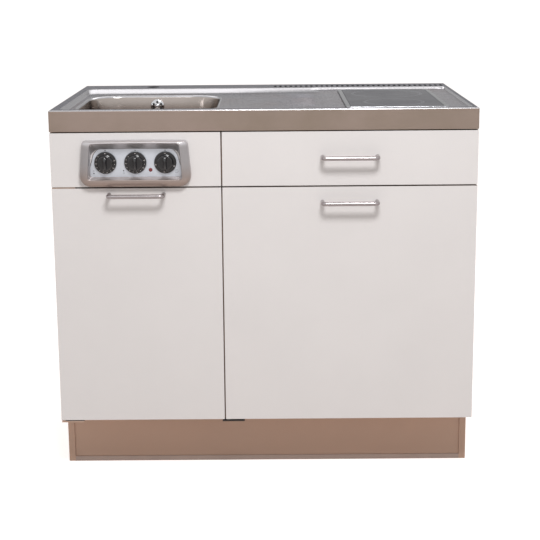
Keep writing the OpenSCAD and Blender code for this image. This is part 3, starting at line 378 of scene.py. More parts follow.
# By maker: each finish's colour or the name of the user's colour, its range of roughness, and further values
FINISHES = {
    laminate: {
        "front_laminate": ("front", (0.34, 0.46)),
        "carcass_laminate": ("carcass", (0.38, 0.52), dict(tone=0.94, scale=6.0, grain=800.0, strength=0.06,
                                                           over=scuffed)),
        # dark brown narrow faces of the fronts: painted shade of the gaps between the fronts and under the
        # worktop
        "edge_band": ((0.28, 0.21, 0.165), (0.4, 0.5)),
        "drawer_board": ((0.74, 0.73, 0.71), (0.4, 0.5)),
        "back_board": ((0.66, 0.62, 0.55), (0.6, 0.75), dict(tone=0.93, grain=500.0, strength=0.12)),
        "runner_white": ((0.76, 0.76, 0.74), (0.3, 0.4), dict(grain=700.0)),
    },
    chipboard: {
        "core_board": ((0.52, 0.38, 0.24), (0.8, 0.8)),
        # near-black core: painted shade, so that the vent slots, the tap hole and the cut-out edges look dark
        "sealed_core": ((0.05, 0.04, 0.032), (0.8, 0.8)),
    },
    steel: {
        "worktop_steel": ("deck", (0.22, 0.34), dict(tone=0.95, scale=7.0, edge=0.33,
                                                     second=(0.425, 0.385, 0.395))),
        # darker than the deck, most of all at a glancing angle: painted reflection of the darker wall behind
        "rim_steel": ("rim", (0.24, 0.36), dict(edge=0.18)),
        # lighter than the deck: painted highlight along the bends, slopes and the bowl's roll
        "bend_steel": ("bends", (0.2, 0.3), dict(tone=0.95, strength=0.06, edge=0.5)),
        # brown upright edges and their second tone: painted reflection of a brown floor
        "apron_steel": ("apron", (0.3, 0.42), dict(tone=0.84, scale=5.0, strength=0.2, edge=0.6,
                                                   second=(0.44, 0.355, 0.29))),
        # warm tint and strong patchy tone of the bowl: painted reflection of brown surroundings
        "bowl_steel": ("bowl", (0.15, 0.25), dict(tone=0.84, scale=6.0, strength=0.08, edge=0.7)),
        "polished_steel": ((0.40, 0.40, 0.42), (0.1, 0.2), dict(tone=0.96, scale=30.0, strength=0.02,
                                                                edge=0.36)),
        "chrome": ((0.62, 0.62, 0.64), (0.05, 0.09), dict(tone=0.97, scale=30.0, strength=0.01)),
        "handle_steel": ((0.40, 0.365, 0.37), (0.2, 0.32), dict(tone=0.94, scale=40.0, strength=0.06)),
        "plated_steel": ((0.5, 0.5, 0.52), (0.3, 0.45), dict(tone=0.9, scale=60.0, strength=0.1)),
    },
    moulding: {
        # near black: painted shade inside holes and slots
        "dark_hole": ((0.006, 0.006, 0.007), (0.5, 0.6)),
        "sign_black": ((0.02, 0.02, 0.024), (0.4, 0.5)),
        "sign_grey": ((0.20, 0.21, 0.23), (0.4, 0.5)),
        "painted_hinge": ((0.50, 0.35, 0.27), (0.4, 0.5), dict(metallic=0.2)),
        "dark_hinge": ((0.05, 0.042, 0.038), (0.35, 0.5), dict(metallic=0.6)),
        "seal_plastic": ((0.40, 0.31, 0.27), (0.45, 0.6)),
        "waste_plastic": ((0.72, 0.72, 0.7), (0.35, 0.45)),
        "black_plastic": ((0.02, 0.02, 0.022), (0.4, 0.55)),
        "knob_plastic": ("knob", (0.12, 0.2), dict(grain=900.0, strength=0.02, Coat_Weight=0.8)),
        "dial_marks": ("marks", (0.4, 0.5)),
        # the surround carries a painted floor reflection low down and a painted highlight along its top
        "silver_plastic": ("surround", (0.26, 0.36), dict(metallic=0.6, grain=1200.0, strength=0.05,
                                                          over=banded)),
        "plate_silver": ("plate", (0.3, 0.4), dict(metallic=0.6, grain=1500.0, strength=0.04)),
        "hob_glass": ("glass", (0.12, 0.2), dict(tone=0.9, scale=25.0, grain=500.0, strength=0.03, IOR=1.03,
                                                 over=ringed)),
        "insulation": ((0.6, 0.56, 0.5), (0.8, 0.9), dict(grain=600.0, strength=0.3)),
        "switch_plastic": ((0.66, 0.62, 0.5), (0.45, 0.6)),
        "lamp_red": ((0.21, 0.028, 0.03), (0.08, 0.14), dict(grain=700.0, strength=0.02, Coat_Weight=0.6)),
    },
}
MATERIALS = {}


def finish(name):
    """The finished material of that name, made at its first use."""
    if name not in MATERIALS:
        maker, rows = next(pair for pair in FINISHES.items() if name in pair[1])
        rgb, gloss, *more = rows[name]
        rgb = getattr(settings().finish, rgb) if isinstance(rgb, str) else rgb
        MATERIALS[name] = maker(name, rgb, gloss, **dict(*more))
    return MATERIALS[name]


# ---------- mesh helpers; sizes are in millimetres unless a name or note says otherwise ----------

WELD, FINE_WELD = 2e-5, 1e-6  # metres within which points are merged
AXIS = 0.01  # radius of a lathe profile's ends, which merge into one point on the axis
SHARP = 40  # degrees above which an edge is eased


def piece(name, bm, materials, node, smooth=True, angle=50, thickness=0.0, cut_edge=0):
    """Turns a bmesh into a finished piece that rides with its CAD node's body.

    cut_edge is how many slots further on the finish of the wall's cut edges is.
    """
    mesh = bpy.data.meshes.new(name)
    bm.to_mesh(mesh)
    bm.free()
    for material in materials:
        mesh.materials.append(finish(material))
    obj = bpy.data.objects.new(name, mesh)
    bpy.context.scene.collection.objects.link(obj)
    if smooth:
        mesh.shade_smooth()
        mesh.set_sharp_from_angle(angle=math.radians(angle))
    if thickness:
        wall = obj.modifiers.new("Wall", "SOLIDIFY")
        wall.thickness = thickness * MM
        wall.offset = -1
        wall.material_offset_rim = cut_edge
    if smooth:
        even = obj.modifiers.new("Even shading", "WEIGHTED_NORMAL")
        even.keep_sharp = True
        even.weight = 80
    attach(obj, BODY_OF[node])
    return obj


def slot_of(node):
    """Material slot of a CAD node."""
    return next(row["material_slot"] for row in frame["record"]["subparts"] if row["node"] == node)


def stands_for(obj, *nodes):
    """The piece is shown in place of these CAD nodes, which are hidden; the piece itself is not used."""
    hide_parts(*nodes)


def dress(*nodes):
    """Gives CAD nodes the finish of their own material slot."""
    for name in nodes:
        mesh = NODES[name].data
        if not mesh.materials:
            mesh.materials.append(None)
        for slot in NODES[name].material_slots:
            slot.material = finish(slot_of(name))


def closed_loop(bm, points):
    """Edges of a closed line through the points."""
    corners = [bm.verts.new([part * MM for part in point]) for point in points]
    return [bm.edges.new((corners[i - 1], corner)) for i, corner in enumerate(corners)]


def level_loop(bm, points, z):
    """A closed line at a height, which may be a function of x."""
    return closed_loop(bm, [(x, y, z(x) if callable(z) else z) for x, y in points])


def arc(centre, reach_x, reach_y, start, steps):
    """Points of a quarter turn, anticlockwise from a start angle in degrees."""
    turns = [math.radians(start + 90 * i / steps) for i in range(steps + 1)]
    return [(centre[0] + reach_x * math.cos(t), centre[1] + reach_y * math.sin(t)) for t in turns]


def circle_points(centre, r):
    """Points of a circle, anticlockwise from its right side."""
    return [point for start in (0, 90, 180, 270) for point in arc(centre, r, r, start, 12)[:-1]]


def rounded_points(x, y, half_x, half_y, r, steps):
    """Points of a rounded rectangle around its centre, anticlockwise from its upper right corner."""
    return [point for start, a, b in ((0, 1, 1), (90, -1, 1), (180, -1, -1), (270, 1, -1))
            for point in arc((x + a * (half_x - r), y + b * (half_y - r)), r, r, start, steps)]


def bridge_all(bm, loops):
    """Joins each loop to the next one."""
    for first, second in zip(loops, loops[1:]):
        bmesh.ops.bridge_loops(bm, edges=first + second)


def open_edges(bm, test):
    """Edges with less than two faces whose ends both pass a test."""
    return [e for e in bm.edges if len(e.link_faces) < 2 and all(test(v.co) for v in e.verts)]


def fill(bm, edges):
    """Fills the flat area between closed lines."""
    bmesh.ops.triangle_fill(bm, use_beauty=True, use_dissolve=False, edges=edges, normal=UP)


def lathe(bm, profile, place, steps=48):
    """A closed solid turned about +Z and set in its place; the profile is radius and height."""
    before = set(bm.verts)
    ring_verts = [bm.verts.new((r * MM, 0, z * MM)) for r, z in profile]
    line = [bm.edges.new(pair) for pair in zip(ring_verts, ring_verts[1:])]
    bmesh.ops.spin(bm, geom=ring_verts + line, cent=(0, 0, 0), axis=UP, angle=2 * math.pi, steps=steps,
                   use_merge=True)
    bmesh.ops.remove_doubles(bm, verts=[v for v in bm.verts if v not in before], dist=WELD)
    made = [v for v in bm.verts if v not in before]
    bmesh.ops.recalc_face_normals(bm, faces=list({f for v in made for f in v.link_faces}))
    bmesh.ops.transform(bm, matrix=place, verts=made)


def shift(x, y, z):
    """Matrix of a move."""
    return Matrix.Translation((x * MM, y * MM, z * MM))


def turn(degrees, axis="Z"):
    """Matrix of a turn about an axis."""
    return Matrix.Rotation(math.radians(degrees), 4, axis)


def facing_front(x, y, z):
    """Matrix that stands a form made around +Z on a front face, its top towards the viewer."""
    return shift(x, y, z) @ turn(90, "X")


def box_of(node):
    """Lowest and highest corner of a CAD node."""
    return [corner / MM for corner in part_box(node)]


def eased_copy(node, width, segments=2):
    """A copy of a CAD node with its sharp edges rounded over."""
    bm = bmesh.new()
    bm.from_mesh(NODES[node].data)
    bmesh.ops.remove_doubles(bm, verts=bm.verts, dist=FINE_WELD)
    if not width:
        return bm
    bmesh.ops.dissolve_limit(bm, angle_limit=math.radians(0.5), verts=bm.verts, edges=bm.edges)
    sharp = [e for e in bm.edges if len(e.link_faces) == 2 and e.calc_face_angle(0) > math.radians(SHARP)]
    bmesh.ops.bevel(bm, geom=sharp, offset=width * MM, offset_type="OFFSET", segments=segments, profile=0.5,
                    affect="EDGES", clamp_overlap=True, material=-1)
    return bm


def eased_piece(name, node, look, width, segments=2):
    """A CAD node's eased copy, finished and shown in its place."""
    stands_for(piece(name, eased_copy(node, width, segments), [look], node), node)


# ---------- worktop ----------

DECK, HOB_DECK, RIM = 890, 895, 900  # heights of the sink deck, the hob deck and the flat rim
RECESS = (-478, 488, -263.5, 222)  # left, right, front and rear of the slopes' upper edge
LEFT_CORNER, RIGHT_CORNER = 24, 12  # its corner radii
JOG_RIGHT, JOG_LEFT = 150, 123  # the rear slope steps back between these two
HOB_SLOPE = 2.5  # depth of the rear slope at the hob, against the front one's
STEP_X = 147  # right edge of the sink deck
FRONT_STATIONS = [-400, -340, -280, -220, -160, -110, -60, -10, 40, 85]
JOIN_STATIONS = [123, 135]
HOB_STATIONS = [153, 190, 260, 330, 400, 450]
# Inset, inset at the rear and height of each line of the slopes around both decks
UPPER_SLOPE = ((-3, -4, RIM), (0, 0, RIM), (0.9, 3, 899.7), (1.8, 7.5, 898.6), (4, 21, HOB_DECK))
# Inset, inset at the rear and at the step, and share of the way up from the sink deck to the hob deck
LOWER_SLOPE = ((4, 21, 0, 1), (6.2, 32, 2.6, 0.44), (7.4, 38, 4.4, 0.14), (9, 43, 7, 0), (11, 46, 9, 0))
SHEET, HEM, REAR_DROP = 0.9, 8, 30  # thickness, turned-in hem, drop of the rear edge
FRONT_ZONE = 20  # depth behind the front edge in which the hem's points lie

BOWL = (-284, -38.5, 168, 170, 78)  # centre, half width, half depth, corner radius
BOWL_FLOOR, FLOOR_ROUND, DRAFT = 735, 42, 6
LEAN_HEIGHT, LEAN = 44, 4.6  # how far the wall has come in at that depth
ROLL_MARGIN = 5  # flat strip around the rolled edge
WASTE, WASTE_RADIUS = (-284, -18.5), 34

DRAINER = (-96, 133, -158, 138)  # left, right, front and rear of the ridged field
DRAINER_GRID = (44, 208)
FALL_START = -110
RIDGE_END, RIDGE_LENGTH, RIDGE_FADE = 127, 215, 1.5
RIDGE_START, RIDGE_PITCH, RIDGE_HALF = -143.5, 19, 9  # first ridge, pitch and half a ridge's width
RIDGE_TIP = 5  # half the length over which a ridge ends at the hob side

HOB_CUT = (315, -38, 105, 193.5, 4)  # centre, half width, half depth, corner radius
TAP, TAP_RADIUS = (-307, 268.5), 17.5
SLOT_X, SLOT_PITCH, SLOT_Y, SLOT_WIDE, SLOT_LONG = 28.6, 14.2, 263, 6.8, 32
SLOT_END = SLOT_WIDE / 2 - 0.01  # corner radius, which leaves a short straight end
# The sink deck's open edges lie between these two heights and left of this place
DECK_EDGES = (DECK - 0.05, HOB_DECK - 1.5, STEP_X - 7)
CORE_DROP = 2.5  # how far the core board's top is lowered, so that it stays under the sheet
CORE_TOP = 865  # what lies above this height is the core board's top
LEVEL = 1e-5  # metres by which a point may be off its level

# A cut edge takes the finish two further on, which is the painted hole shade in the slots and the tap hole.
SHEET_FINISHES = ["worktop_steel", "apron_steel", "bowl_steel", "rim_steel", "bend_steel", "dark_hole",
                  "apron_steel"]
CUT_EDGE = 2
# zones of one steel sheet; all but the linen deck carry painted reflection or painted highlight in their
# colour
LINEN, UPRIGHT, BOWL_SIDE, FLAT_RIM, BEND = range(5)
LINEN_FIELD = (-110, 163, 172)  # left, right and rear of the drainer with its slopes
BOWL_MARGIN, BOWL_DEPTH = 15, 12  # the bowl's finish starts this far out, and below this depth
# Upward part of a normal: above the first a face is level, below the others it is an upright edge or the bowl
LEVEL_TILT, UPRIGHT_TILT, BOWL_TILT = 0.9995, 0.2, 0.3


def smoothstep(t):
    """Soft step from nothing to one."""
    t = min(max(t, 0), 1)
    return t * t * (3 - 2 * t)


def deck_height(x):
    """Height of the sink deck: level around the bowl, rising along the drainer."""
    rise = smoothstep((x - FALL_START) / (STEP_X - FALL_START))
    return DECK + settings().worktop.drainer_fall / MM * rise


def recess(inset, rear_inset, step_inset=None):
    """Outline of the whole recess, or of the sink deck's part where an inset at the step is given."""
    x0, x1, y0, y1 = RECESS
    r, s = LEFT_CORNER - inset, RIGHT_CORNER - inset
    left, right, front = x0 + inset + r, x1 - inset - s, y0 + inset
    rear, rear_hob = y1 - rear_inset, y1 - HOB_SLOPE * inset
    if step_inset is None:
        jog = [JOG_RIGHT - (JOG_RIGHT - JOG_LEFT) * i / 9 for i in range(10)]
        step = [smoothstep((x - JOG_LEFT) / (JOG_RIGHT - JOG_LEFT)) for x in jog]
        right_side = ([(x, front) for x in JOIN_STATIONS + HOB_STATIONS]
                      + arc((right, front + s), s, s, 270, 6) + arc((right, rear_hob - s), s, s, 0, 6)
                      + [(x, rear_hob) for x in reversed(HOB_STATIONS)]
                      + [(x, rear + (rear_hob - rear) * t) for x, t in zip(jog, step)])
    else:
        q = LEFT_CORNER - step_inset
        right = STEP_X - step_inset - q
        right_side = arc((right, front + r), q, r, 270, 8) + arc((right, rear - r), q, r, 0, 8)
    return (arc((left, front + r), r, r, 180, 8) + [(x, front) for x in FRONT_STATIONS] + right_side
            + [(x, rear) for x in reversed(FRONT_STATIONS)] + arc((left, rear - r), r, r, 90, 8))


def bowl_outline(grow):
    """Outline of the bowl, grown or shrunk."""
    x, y, half_x, half_y, r = BOWL
    return rounded_points(x, y, half_x + grow, half_y + grow, r + grow, steps=12)


def bowl_sections(roll):
    """Growth and height of each section of the bowl, from the deck down to its floor."""
    over = [math.radians(a) for a in (14, 28, 42, 56, 70, 84)]
    under = [math.radians(a) for a in range(0, 91, 9)]
    return ([(roll + ROLL_MARGIN, DECK), (roll, DECK)]
            + [(roll * (1 - math.sin(a)), DECK - roll * (1 - math.cos(a))) for a in over]
            + [(-LEAN, DECK - LEAN_HEIGHT)]
            + [(-DRAFT - FLOOR_ROUND * (1 - math.cos(a)), BOWL_FLOOR + FLOOR_ROUND * (1 - math.sin(a)))
               for a in under])


def apron_shell(bm):
    """Outer form of the worktop: flat top, rounded edges, upright edges and a turned-in hem."""
    low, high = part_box("worktop_sheet")
    made = bmesh.ops.create_cube(bm, size=1)
    bmesh.ops.scale(bm, vec=high - low, verts=made["verts"])
    bmesh.ops.translate(bm, vec=(low + high) / 2, verts=made["verts"])
    bmesh.ops.delete(bm, geom=[f for f in bm.faces if f.normal.z < -0.5 or f.normal.y > 0.5],
                     context="FACES_ONLY")

    def to_round(edge):
        a, b = (v.co for v in edge.verts)
        on_top = min(a.z, b.z) > high.z - MM
        at_rear = min(a.y, b.y) > high.y - MM
        upright_front = max(a.y, b.y) < low.y + MM and abs(a.x - b.x) < MM
        return (on_top and not at_rear) or upright_front

    bmesh.ops.bevel(bm, geom=[e for e in bm.edges if to_round(e)], offset=settings().worktop.edge_radius,
                    offset_type="OFFSET", segments=6, profile=0.5, affect="EDGES", material=-1)
    hem = open_edges(bm, lambda p: p.z < low.z + MM and p.y < high.y - MM) + open_edges(
        bm, lambda p: p.z < low.z + MM and abs(p.x) > high.x - MM)
    turned = bmesh.ops.extrude_edge_only(bm, edges=list(set(hem)))
    for v in [g for g in turned["geom"] if isinstance(g, bmesh.types.BMVert)]:
        v.co.x *= 1 - HEM * MM / high.x
        if v.co.y < low.y + FRONT_ZONE * MM:
            v.co.y += HEM * MM
    back = open_edges(bm, lambda p: p.z > high.z - MM and p.y > high.y - MM)
    drop = bmesh.ops.extrude_edge_only(bm, edges=back)
    bmesh.ops.translate(bm, vec=UP * -REAR_DROP * MM,
                        verts=[g for g in drop["geom"] if isinstance(g, bmesh.types.BMVert)])
    top = max((f for f in bm.faces if f.normal.z > 0.9), key=lambda f: f.calc_area())
    bmesh.ops.delete(bm, geom=[top], context="FACES_ONLY")


def sheet_finish(face):
    """Index of a face's finish: linen deck; upright edge, bowl or rim with painted reflection; bend with
    painted highlight.
    """
    middle = face.calc_center_median() / MM
    tilt = face.normal.z
    x, y, half_x, half_y, _ = BOWL
    left, right, rear = LINEN_FIELD
    in_bowl = abs(middle.x - x) < half_x + BOWL_MARGIN and abs(middle.y - y) < half_y + BOWL_MARGIN
    if in_bowl and (middle.z < DECK - BOWL_DEPTH or tilt < BOWL_TILT):
        return BOWL_SIDE
    if tilt < UPRIGHT_TILT:
        return UPRIGHT
    if tilt > LEVEL_TILT:
        return FLAT_RIM if middle.z > RIM - 0.5 else LINEN
    return LINEN if left < middle.x < right and middle.y < rear and middle.z < HOB_DECK + 0.5 else BEND


def drainer_patch(bm):
    """Grid of the drainer with its rounded ridges, which fade out towards the bowl."""
    top = settings().worktop
    x0, x1, y0, y1 = DRAINER
    made = bmesh.ops.create_grid(bm, x_segments=DRAINER_GRID[0], y_segments=DRAINER_GRID[1], size=0.5)
    for v in made["verts"]:
        x = x0 + (v.co.x + 0.5) * (x1 - x0)
        y = y0 + (v.co.y + 0.5) * (y1 - y0)
        row = round((y - RIDGE_START) / RIDGE_PITCH)
        off = abs(y - RIDGE_START - row * RIDGE_PITCH)
        rise = 0
        if 0 <= row < top.ridge_count and off < RIDGE_HALF:
            along = (smoothstep((x - RIDGE_END + RIDGE_LENGTH) / RIDGE_LENGTH) ** RIDGE_FADE
                     * smoothstep((RIDGE_END + RIDGE_TIP - x) / (2 * RIDGE_TIP)))
            rise = top.ridge_height / MM * along * (0.5 + 0.5 * math.cos(math.pi * off / RIDGE_HALF))
        v.co = Vector((x, y, deck_height(x) + rise)) * MM


class KITCHENETTE_OT_worktop(bpy.types.Operator):
    """Pressed worktop with its decks, drainer, vent slots, tap hole and sink bowl"""
    bl_idname = "kitchenette.worktop"
    bl_label = "Worktop and Bowl"

    def execute(self, context):
        top = settings().worktop
        bm = bmesh.new()
        apron_shell(bm)
        bridge_all(bm, [level_loop(bm, recess(inset, rear), z) for inset, rear, z in UPPER_SLOPE])
        bridge_all(bm, [level_loop(bm, recess(inset, rear, step), lambda x: (1 - share) * deck_height(x)
                                   + share * HOB_DECK) for inset, rear, step, share in LOWER_SLOPE])
        bmesh.ops.remove_doubles(bm, verts=bm.verts, dist=WELD)
        bowl = [level_loop(bm, bowl_outline(grow), z) for grow, z in bowl_sections(top.roll_radius / MM)]
        bridge_all(bm, bowl)
        fill(bm, bowl[-1] + level_loop(bm, circle_points(WASTE, WASTE_RADIUS), BOWL_FLOOR))
        level_loop(bm, rounded_points(*HOB_CUT, steps=3), HOB_DECK)
        fill(bm, open_edges(bm, lambda p: abs(p.z - HOB_DECK * MM) < LEVEL))
        drainer_patch(bm)
        low, high, right = DECK_EDGES
        fill(bm, open_edges(bm, lambda p: low * MM < p.z < high * MM and p.x < right * MM))
        level_loop(bm, circle_points(TAP, TAP_RADIUS), RIM)
        for i in range(top.slot_count):
            level_loop(bm, rounded_points(SLOT_X + i * SLOT_PITCH, SLOT_Y, SLOT_WIDE / 2, SLOT_LONG / 2,
                                          SLOT_END, steps=4), RIM)
        fill(bm, open_edges(bm, lambda p: abs(p.z - RIM * MM) < LEVEL))
        bmesh.ops.remove_doubles(bm, verts=bm.verts, dist=LEVEL)
        bmesh.ops.recalc_face_normals(bm, faces=bm.faces)
        if max(bm.faces, key=lambda f: f.calc_area()).normal.z < -0.5:
            bmesh.ops.reverse_faces(bm, faces=bm.faces)
        for face in bm.faces:
            face.material_index = sheet_finish(face)
        sheet = piece("pressed_worktop", bm, SHEET_FINISHES, "worktop_sheet", angle=62, thickness=SHEET,
                      cut_edge=CUT_EDGE)
        stands_for(sheet, "worktop_sheet", "sink_bowl")
        return {"FINISHED"}


# ---------- boards ----------

NAIL_RADIUS, NAIL_HEAD, NAIL_INSET, NAIL_RISE = 2.4, 0.8, 8, 0.3  # the rise is up to a head's middle
NAIL_COLUMNS, NAIL_ROWS = range(-480, 481, 120), range(260, 800, 116)


class KITCHENETTE_OT_boards(bpy.types.Operator):
    """Fronts, carcass boards, shelf and plinth with eased edges"""
    bl_idname = "kitchenette.boards"
    bl_label = "Fronts and Carcass"

    def execute(self, context):
        for node in ("control_front_panel", "drawer_front", "left_door", "right_door"):
            bm = eased_copy(node, width=0.9, segments=3)
            # the narrow faces take the dark edge band: painted shade of the gaps around the fronts
            for face in bm.faces:
                face.material_index = int(abs(face.normal.y) < 0.3)
            stands_for(piece(node + "_board", bm, ["front_laminate", "edge_band"], node), node)
        for node in ("left_side_panel", "right_side_panel", "plinth_board", "shelf", "bottom_panel",
                     "centre_partition"):
            eased_piece(node + "_board", node, "carcass_laminate", width=0.5)
        dress("plinth_seal", "back_panel", "front_rail", "rear_rail", "left_mid_rail", "right_mid_rail",
              "shelf_pins", "panel_brackets", "worktop_battens", "door_catches")
        # the core board is near black: painted shade seen through the slots and holes
        core = eased_copy("worktop_core", width=0)
        for v in core.verts:
            v.co.z -= CORE_DROP * MM if v.co.z > CORE_TOP * MM else 0
        stands_for(piece("worktop_core_board", core, ["sealed_core"], "worktop_core", smooth=False),
                   "worktop_core")
        low, high = box_of("back_panel")
        heads = [(x, z) for x in NAIL_COLUMNS for z in (low.z + NAIL_INSET, high.z - NAIL_INSET)]
        heads += [(side * (high.x - NAIL_INSET), z) for side in (-1, 1) for z in NAIL_ROWS]
        screws("back_panel_nails", "back_panel", [(x, high.y + NAIL_RISE, z) for x, z in heads],
               NAIL_RADIUS, NAIL_HEAD)
        return {"FINISHED"}


# ---------- handles, hinges and runners ----------

SCREW_RADIUS, SCREW_HEAD, SCREW_INSET = 4, 1.7, 5


def screws(name, node, spots, radius, head):
    """One piece of like pan heads with a round recess, which face the wall side."""
    bm = bmesh.new()
    half = head / 2
    profile = [(AXIS, -half), (radius, -half), (radius * 0.94, half * 0.2), (radius * 0.72, half),
               (radius * 0.42, half), (radius * 0.36, 0), (AXIS, 0)]
    for spot in spots:
        lathe(bm, profile, shift(*spot) @ turn(-90, "X"), steps=16)
    piece(name, bm, ["plated_steel"], node, angle=35)


class KITCHENETTE_OT_fittings(bpy.types.Operator):
    """Handles, hinges, runners and the screws that hold them"""
    bl_idname = "kitchenette.fittings"
    bl_label = "Handles, Hinges and Runners"

    def execute(self, context):
        dress("drawer_handle", "left_door_handle", "right_door_handle", "right_door_hinges",
              "cabinet_runners", "drawer_runners")
        eased_piece("left_door_hinges_painted", "left_door_hinges", "painted_hinge", width=0.4)
        for node in ("drawer_left_side", "drawer_right_side", "drawer_back", "drawer_bottom"):
            eased_piece(node + "_board", node, "drawer_board", width=0.6)
        for front, handle in (("drawer_front", "drawer_handle"), ("left_door", "left_door_handle"),
                              ("right_door", "right_door_handle")):
            low, high = box_of(handle)
            y = box_of(front)[1].y + SCREW_HEAD / 2
            screws(handle + "_screws", handle, [(x, y, (low.z + high.z) / 2) for x in (
                low.x + SCREW_INSET, high.x - SCREW_INSET)], SCREW_RADIUS, SCREW_HEAD)
        return {"FINISHED"}


# ---------- controls ----------

KNOB_X, KNOB_Z, KNOB_STEP = -301, 776.5, 70  # middle knob and the knobs' pitch
PLATE_Y, FACE_Y, HOOD_Y = -279.5, -281.5, -303.5  # plate, foot and front rim of the surround
# Half width and height at the top and at the bottom, corner radii there, and the top's crown
OUTER = (123, 830, 133, 720.5, 9, 28, 1.0)
OPENING = (104.5, 825, 111, 738, 9, 7, 0.8)
PLATE = (103, 808, 107, 743, 25, 6, 0.5)
CORNER_STEPS, CROWN_STEPS = 10, 8
# Share of the way from the outer outline to the opening, and depth
HOOD = ((0.0, -286), (0.02, -290), (0.07, -293.5), (0.18, -296.8), (0.4, -300), (0.65, -302.3),
        (0.85, -303.3), (0.97, HOOD_Y))
# Inset and depth where the rim turns in, and inset and depth where the ledge down to the plate starts
RIM_TURN, LEDGE_START = (0.3, 0.35), (0.8, 1.5)
LEDGE = (0.3, 0.6, 0.9, 1.0)  # shares of the way down the ledge
SURROUND_WALL = 1.6
INK = 0.1  # thickness of a printed sign
POINTER_RISE, POINTER_SIZE = 28.6, 2  # from a knob's middle up to its pointer, and the pointer's radius
# Places of the signs from their knob's middle, and their radii
ZONE_SIGN, ZONE_GAP, ZONE_DOT, ZONE_RING = (-28, -22), 3, 1.5, (1.9, 1.4)
CLOCK_SIGN, CLOCK_RING = (26, -21), (4, 3.4)
CLOCK_HANDS, HAND_WIDTH = ((0, 2.6), (-2, 2)), 0.5  # each hand's turn in radians and its length


def outline(form, grow=0.0):
    """Front-view outline of the surround, its opening or the plate, clockwise from its upper left corner."""
    top, z_top, foot, z_foot, r_top, r_foot, crown = form
    left, right = KNOB_X - grow, KNOB_X + grow
    corners = [Vector(place) for place in ((left - top, z_top + grow), (right + top, z_top + grow),
                                           (right + foot, z_foot - grow), (left - foot, z_foot - grow))]
    radii = [r_top + grow, r_top + grow, r_foot + grow, r_foot + grow]
    points = []
    for i, (here, radius) in enumerate(zip(corners, radii)):
        back = (corners[i - 1] - here).normalized()
        on = (corners[(i + 1) % 4] - here).normalized()
        half = back.angle(on) / 2
        centre = here + (back + on).normalized() * (radius / math.sin(half))
        start = here + back * (radius / math.tan(half)) - centre
        for k in range(CORNER_STEPS + 1):
            points.append(centre + Matrix.Rotation((2 * half - math.pi) * k / CORNER_STEPS, 2) @ start)
        if i == 0:
            far = corners[1] - on * radius
            for k in range(1, CROWN_STEPS):
                t = k / CROWN_STEPS
                points.append(points[CORNER_STEPS].lerp(far, t) + Vector((0, crown * 4 * t * (1 - t))))
    return points


def blended(first, second, t):
    """Points part of the way from one outline to another."""
    return [a.lerp(b, t) for a, b in zip(first, second)]


def disc(bm, radius, height, place):
    """A flat round plate."""
    lathe(bm, [(AXIS, 0), (radius, 0), (radius, height), (AXIS, height)], place, steps=20)


def ring(bm, outer, inner, height, place):
    """A flat ring."""
    lathe(bm, [(inner, 0), (outer, 0), (outer, height), (inner, height), (inner, 0)], place, steps=28)


def plate_signs():
    """Printed signs on the control plate: pointers, zone signs and a clock."""
    black, grey = bmesh.new(), bmesh.new()
    for i in (-1, 0, 1):
        place = facing_front(KNOB_X + i * KNOB_STEP, PLATE_Y, KNOB_Z + POINTER_RISE) @ turn(180)
        bmesh.ops.create_cone(black, cap_ends=True, segments=3, radius1=POINTER_SIZE * MM,
                              radius2=POINTER_SIZE * MM, depth=2 * INK * MM, matrix=place)
    for i, up in ((-1, -1), (0, 1)):
        x, z = KNOB_X + i * KNOB_STEP + ZONE_SIGN[0], KNOB_Z + ZONE_SIGN[1]
        disc(black, ZONE_DOT, INK, facing_front(x, PLATE_Y, z + up * ZONE_GAP))
        ring(grey, *ZONE_RING, INK, facing_front(x, PLATE_Y, z - up * ZONE_GAP))
    x, z = KNOB_X + KNOB_STEP + CLOCK_SIGN[0], KNOB_Z + CLOCK_SIGN[1]
    ring(grey, *CLOCK_RING, INK, facing_front(x, PLATE_Y, z))
    for angle, reach in CLOCK_HANDS:
        hand = (facing_front(x, PLATE_Y - INK / 2, z) @ Matrix.Rotation(angle, 4, "Z")
                @ shift(0, reach / 2, 0) @ Matrix.Diagonal((HAND_WIDTH * MM, reach * MM, INK * MM, 1)))
        bmesh.ops.create_cube(grey, size=1, matrix=hand)
    for tone, bm in (("black", black), ("grey", grey)):
        piece("plate_signs_" + tone, bm, ["sign_" + tone], "control_plate", smooth=False)


class KITCHENETTE_OT_controls(bpy.types.Operator):
    """Moulded surround, control plate with its signs, pilot lamp and the parts behind them"""
    bl_idname = "kitchenette.controls"
    bl_label = "Control Panel"

    def execute(self, context):
        bm = bmesh.new()
        outer, opening, plate = outline(OUTER), outline(OPENING), outline(PLATE)
        inner, ledge_y = outline(OPENING, -LEDGE_START[0]), HOOD_Y + LEDGE_START[1]
        loops = [(outer, FACE_Y)] + [(blended(outer, opening, t), y) for t, y in HOOD]
        loops += [(outline(OPENING, -RIM_TURN[0]), HOOD_Y + RIM_TURN[1])]
        loops += [(blended(inner, plate, 0.05), ledge_y)]
        loops += [(blended(inner, plate, t), ledge_y + (PLATE_Y - ledge_y) * t) for t in LEDGE]
        bridge_all(bm, [closed_loop(bm, [(x, y, z) for x, z in points]) for points, y in loops])
        bmesh.ops.recalc_face_normals(bm, faces=bm.faces)
        if min(bm.faces, key=lambda f: f.calc_center_median().y).normal.y > 0:
            bmesh.ops.reverse_faces(bm, faces=bm.faces)
        stands_for(piece("moulded_surround", bm, ["silver_plastic"], "control_surround", angle=70,
                         thickness=SURROUND_WALL), "control_surround")
        dress("control_plate", "front_zone_regulator", "rear_zone_regulator", "timer_switch", "pilot_lamp",
              "front_zone_spindle", "rear_zone_spindle", "timer_spindle", "terminal_box", "cable_gland")
        plate_signs()
        return {"FINISHED"}


# ---------- knobs ----------

KNOB_Y = -280.5  # back of a knob's skirt
